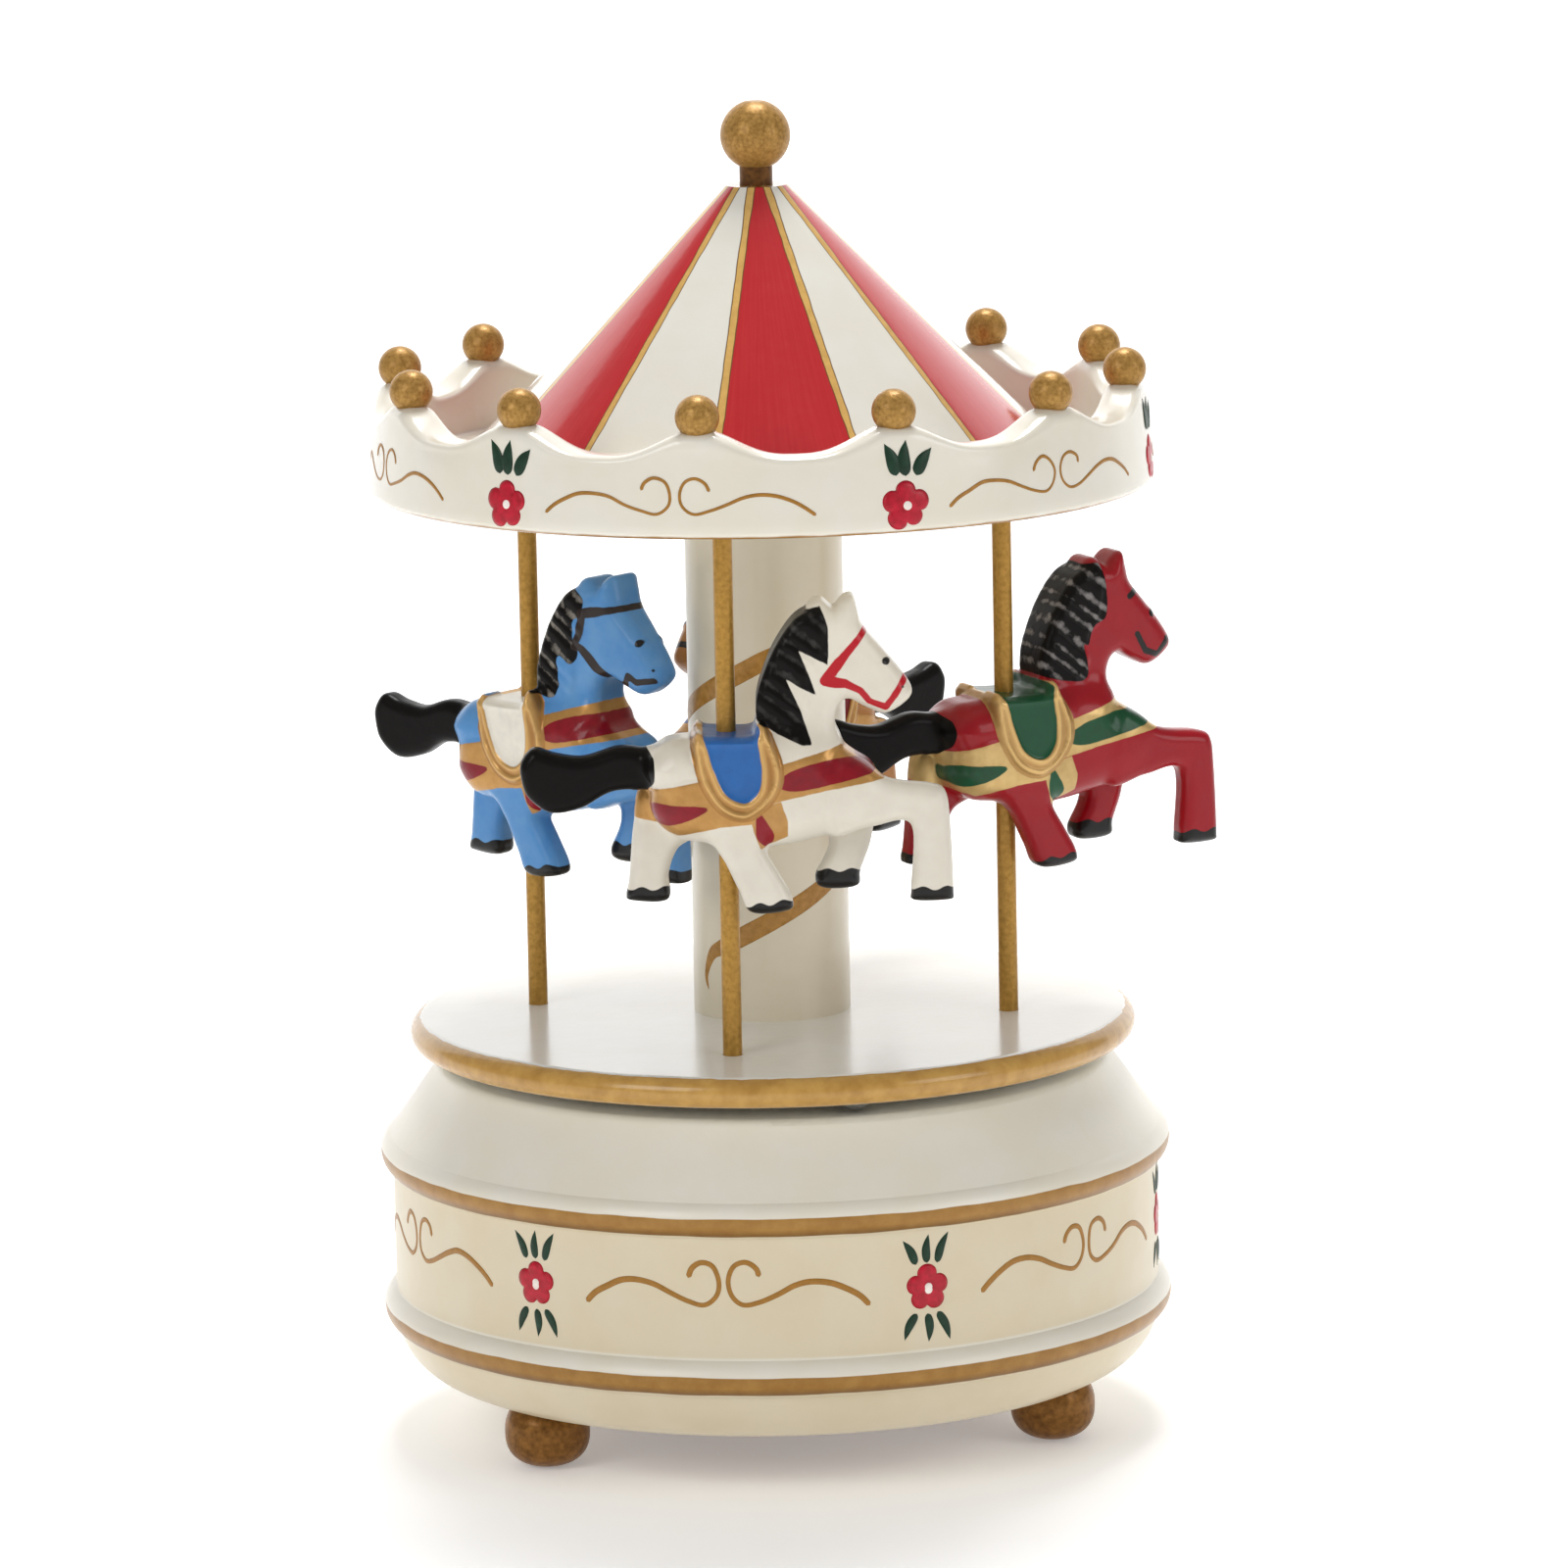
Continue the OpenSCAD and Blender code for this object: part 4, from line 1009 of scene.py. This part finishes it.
class CAROUSEL_OT_horses(bpy.types.Operator):
    """Carves one horse, sets it four times on the poles and paints each its own colours"""
    bl_idname = "carousel.horses"
    bl_label = "Horses"

    def execute(self, context):
        c = context.scene.carousel_horses
        field, start = carved_horse()
        points, quads = surface_net(field, start, STEP)
        # heading in degrees, coat, thin coat, saddle cloth, painted glints in the mane, gems and
        # rein
        schemes = {
            "white": (0.5, c.white_coat, "#D2C9BA", "#2862A6", "#3A3836", "#86101E", "#B0101E"),
            "red": (24.5, c.red_coat, "#8E1420", "#0E4A2C", "#8C8886", "#0E4A2C", "#1B1715"),
            "tan": (226.0, c.tan_coat, "#8E5C2E", "#7A1C22", "#55504A", "#1C4E9A", "#1B1715"),
            "blue": (321.5, c.blue_coat, "#6C9CC6", "#E4DFD2", "#8A847C", "#86101E", "#2A201C"),
        }
        for name, (bearing, *scheme) in schemes.items():
            heading = math.radians(bearing)
            low, high = span("pole_" + name)
            centre = (low + high) / 2
            ground = span("horse_" + name)[0][2]
            x, y, h = points.T
            placed = np.stack([centre[0] + x * math.cos(heading) - y * math.sin(heading),
                               centre[1] + x * math.sin(heading) + y * math.cos(heading),
                               ground + h], -1)
            piece = fresh_object("carved_horse_" + name, placed, quads)
            for key, values in paint_distances(x, y, h, *BRUSH[name]).items():
                layer = piece.data.attributes.new(key, "FLOAT", "POINT")
                layer.data.foreach_set("value", values.astype(np.float32))
            finish_piece(piece, name + "_rider",
                         horse_enamel(name, scheme, c), ["horse_" + name])
        return {"FINISHED"}


def horse_enamel(name, scheme, c):
    """Gloss enamel on a resin carving, in hand-cut areas: each area is where its signed
    distance is below nothing. The hair is painted black, with painted highlights as lighter
    streaks along the ridges of its locks."""
    coat, coat_thin, cloth, mane_glint_colour, gem, rein = scheme
    material, tree, body = new_material("gloss_enamel_" + name, Roughness=0.3, **{
        "Specular IOR Level": 0.2, "Coat Weight": 0.2, "Coat Roughness": 0.07})

    def stored(key):
        return add(tree, "ShaderNodeAttribute", attribute_name=key).outputs["Fac"]

    def area(key):
        return edge(tree, calc(tree, "ADD", stored(key), wobble(tree, 1.3, 0.08)), 0.06)

    made = mottled(tree, colour(coat), colour(coat_thin), 3.5, 0.5, 4.0)
    tone = (c.harness_pale, "#B08E52") if name == "red" else (c.harness, "#A0713A")
    gold = mottled(tree, colour(tone[0]), colour(tone[1]), 1.4, 0.5, 4.0)
    ridge = calc(tree, "ADD", calc(tree, "MULTIPLY", stored("lock"), 0.5),
                 calc(tree, "MULTIPLY", noise(tree, 1.4, 3.0), 2.2))
    # painted highlight: lighter glints laid along the ridges of the mane's locks, broken up by
    # noise
    mane_glint_share = calc(tree, "MULTIPLY", ramp(tree, ridge, 1.3, 1.9, 0.0, 0.85), area("mane"))
    black = mix_sockets(tree, mane_glint_share, colour(c.hair), colour(mane_glint_colour))
    trim = area("strap")
    made = mix_sockets(tree, trim, made, gold)
    made = mix_sockets(tree, area("gem"), made, mottled(tree, colour(gem), colour("#2A0C0C"),
                                                        1.5, 0.25))
    made = mix_sockets(tree, area("pendant"), made, gold)
    made = mix_sockets(tree, area("pendant_gem"), made, colour(gem))
    # painted highlight and painted shade: the saddle border is lighter on its two raised rims and
    # darker in the groove between them
    border = mix_sockets(tree, stored("ridge"), colour("#8E5E28"), colour("#D8B070"))
    made = mix_sockets(tree, area("border"), made, mix_sockets(tree, 0.35, border, gold))
    made = mix_sockets(tree, area("cloth"), made, mottled(tree, colour(cloth), colour("#101820"),
                                                          1.8, 0.12))
    for key in ("mane", "tail", "hoof"):
        made = mix_sockets(tree, area(key), made, black)
    made = mix_sockets(tree, area("rein"), made, colour(rein))
    made = mix_sockets(tree, area("eye"), made, colour(c.hair))
    tree_colour(material, body, made)
    # bronze powder shines in the border and the straps, outside the cloth, gems and hair
    metal = calc(tree, "MAXIMUM", trim, area("border"))
    for key in ("cloth", "gem", "mane", "tail"):
        metal = calc(tree, "MULTIPLY", metal, calc(tree, "SUBTRACT", 1.0, area(key)))
    tree.links.new(calc(tree, "MULTIPLY", metal, 0.45), body.inputs["Metallic"])
    # the black is duller than the coats
    dull = calc(tree, "MAXIMUM", area("mane"), area("tail"))
    gloss = calc(tree, "SUBTRACT", 0.2, calc(tree, "MULTIPLY", dull, 0.2 * 0.7))
    tree.links.new(gloss, body.inputs["Coat Weight"])
    tree.links.new(gloss, body.inputs["Specular IOR Level"])
    brushed_bump(tree, body, 0.35, 0.02, (1, 1, 0.6), 1.6)
    return material


class CAROUSEL_OT_stage(bpy.types.Operator):
    """Sets the pale floor with its sweep, the soft studio lights and the camera"""
    bl_idname = "carousel.stage"
    bl_label = "Stage"

    def execute(self, context):
        s, scene = context.scene.carousel_stage, context.scene
        # the floor runs back flat and then up in a quarter circle
        t = np.linspace(0, np.pi / 2, 24)
        section = np.concatenate([[(-4000, 0), (3000, 0)],
                                  np.stack([3000 + 1500 * np.sin(t), 1500 - 1500 * np.cos(t)],
                                           -1)[1:], [(4500, 5000)]])
        sides = np.array([-5000, 5000])
        points = np.stack([np.repeat(sides, len(section)), np.tile(section[:, 0], 2),
                           np.tile(section[:, 1], 2)], -1)
        n = len(section)
        i = np.arange(n - 1)
        floor = fresh_object("floor", points, np.stack([i, i + n, i + n + 1, i + 1], -1))
        material, tree, body = new_material("pale_paper_sweep", Roughness=0.6, **{
            "Emission Color": (1, 1, 1, 1)})
        tree_colour(material, body, mottled(tree, colour(s.floor_tint), colour("#F7F7F6"),
                                            40.0, 0.4))
        # painted light: the sweep glows, more the further back it goes, as if lit from behind,
        # and no lamp is there
        back = add(tree, "ShaderNodeSeparateXYZ", {0: place(tree)}).outputs["Y"]
        glow = ramp(tree, back, 300.0, 3000.0, 0.25, 0.95)
        tree.links.new(glow, body.inputs["Emission Strength"])
        floor.data.materials.append(material)
        floor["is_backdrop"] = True
        world = bpy.data.worlds.new("soft_room")
        scene.world = world
        world.use_nodes = True
        world.node_tree.nodes["Background"].inputs["Color"].default_value = (1, 1, 1, 1)
        world.node_tree.nodes["Background"].inputs["Strength"].default_value = 0.33
        target = Vector((2.08, 0, 85.1)) * MM
        for name, at, size, power in (
                ("key_left", (-0.65, -0.8, 0.6), 0.5, 3.5),
                ("fill_right", (0.85, -0.55, 0.4), 0.45, 1.9),
                ("back_top", (0.05, 0.35, 1.1), 0.4, 9.0)):
            light = bpy.data.lights.new(name, "AREA")
            light.shape, light.size, light.energy = "SQUARE", size, power
            lamp = bpy.data.objects.new(name, light)
            scene.collection.objects.link(lamp)
            lamp.location = at
            lamp.rotation_euler = (target - Vector(at)).to_track_quat("-Z", "Y").to_euler()
        camera = bpy.data.objects.new("camera", bpy.data.cameras.new("camera"))
        scene.collection.objects.link(camera)
        camera.data.sensor_width, camera.data.lens = 36, s.lens
        camera.data.clip_start, camera.data.clip_end = 0.05, 50
        spot = target + s.distance * Vector((0, -math.cos(s.elevation), math.sin(s.elevation)))
        aim = (target - spot).to_track_quat("-Z", "Y").to_matrix()
        camera.matrix_world = Matrix.Translation(spot) @ (
            aim @ Matrix.Rotation(s.tilt, 3, "Z")).to_4x4()
        scene.camera = camera
        scene.view_settings.view_transform = "Standard"
        return {"FINISHED"}


class CAROUSEL_PT_panel(bpy.types.Panel):
    """Lists the pieces and their settings"""
    bl_idname = "CAROUSEL_PT_panel"
    bl_label = "Carousel music box"
    bl_space_type = "VIEW_3D"
    bl_region_type = "UI"
    bl_category = "Carousel"

    def draw(self, context):
        for operator in OPERATORS:
            self.layout.operator(operator.bl_idname)
        for group in GROUPS:
            box = self.layout.box()
            for key in group.__annotations__:
                box.prop(getattr(context.scene, GROUPS[group]), key)


GROUPS = {CarouselPaints: "carousel_paints", CarouselCrown: "carousel_crown",
          CarouselBrushwork: "carousel_brushwork", CarouselHorses: "carousel_horses",
          CarouselStage: "carousel_stage"}
OPERATORS = (CAROUSEL_OT_turned_wood, CAROUSEL_OT_feet, CAROUSEL_OT_movement, CAROUSEL_OT_rim,
             CAROUSEL_OT_brushwork, CAROUSEL_OT_horses, CAROUSEL_OT_stage)


def register():
    for group, name in GROUPS.items():
        bpy.utils.register_class(group)
        setattr(bpy.types.Scene, name, PointerProperty(type=group))
    for thing in (*OPERATORS, CAROUSEL_PT_panel):
        bpy.utils.register_class(thing)


def unregister():
    for thing in (CAROUSEL_PT_panel, *reversed(OPERATORS)):
        bpy.utils.unregister_class(thing)
    for group, name in reversed(GROUPS.items()):
        delattr(bpy.types.Scene, name)
        bpy.utils.unregister_class(group)


def main():
    register()
    for operator in OPERATORS:
        group, name = operator.bl_idname.split(".")
        getattr(getattr(bpy.ops, group), name)()
    as_lists = lambda corners: [[float(v) for v in corner] for corner in corners]
    {"cad": as_lists(CAD_BOX), "visual": as_lists(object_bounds())}


if __name__ == "__main__":
    main()
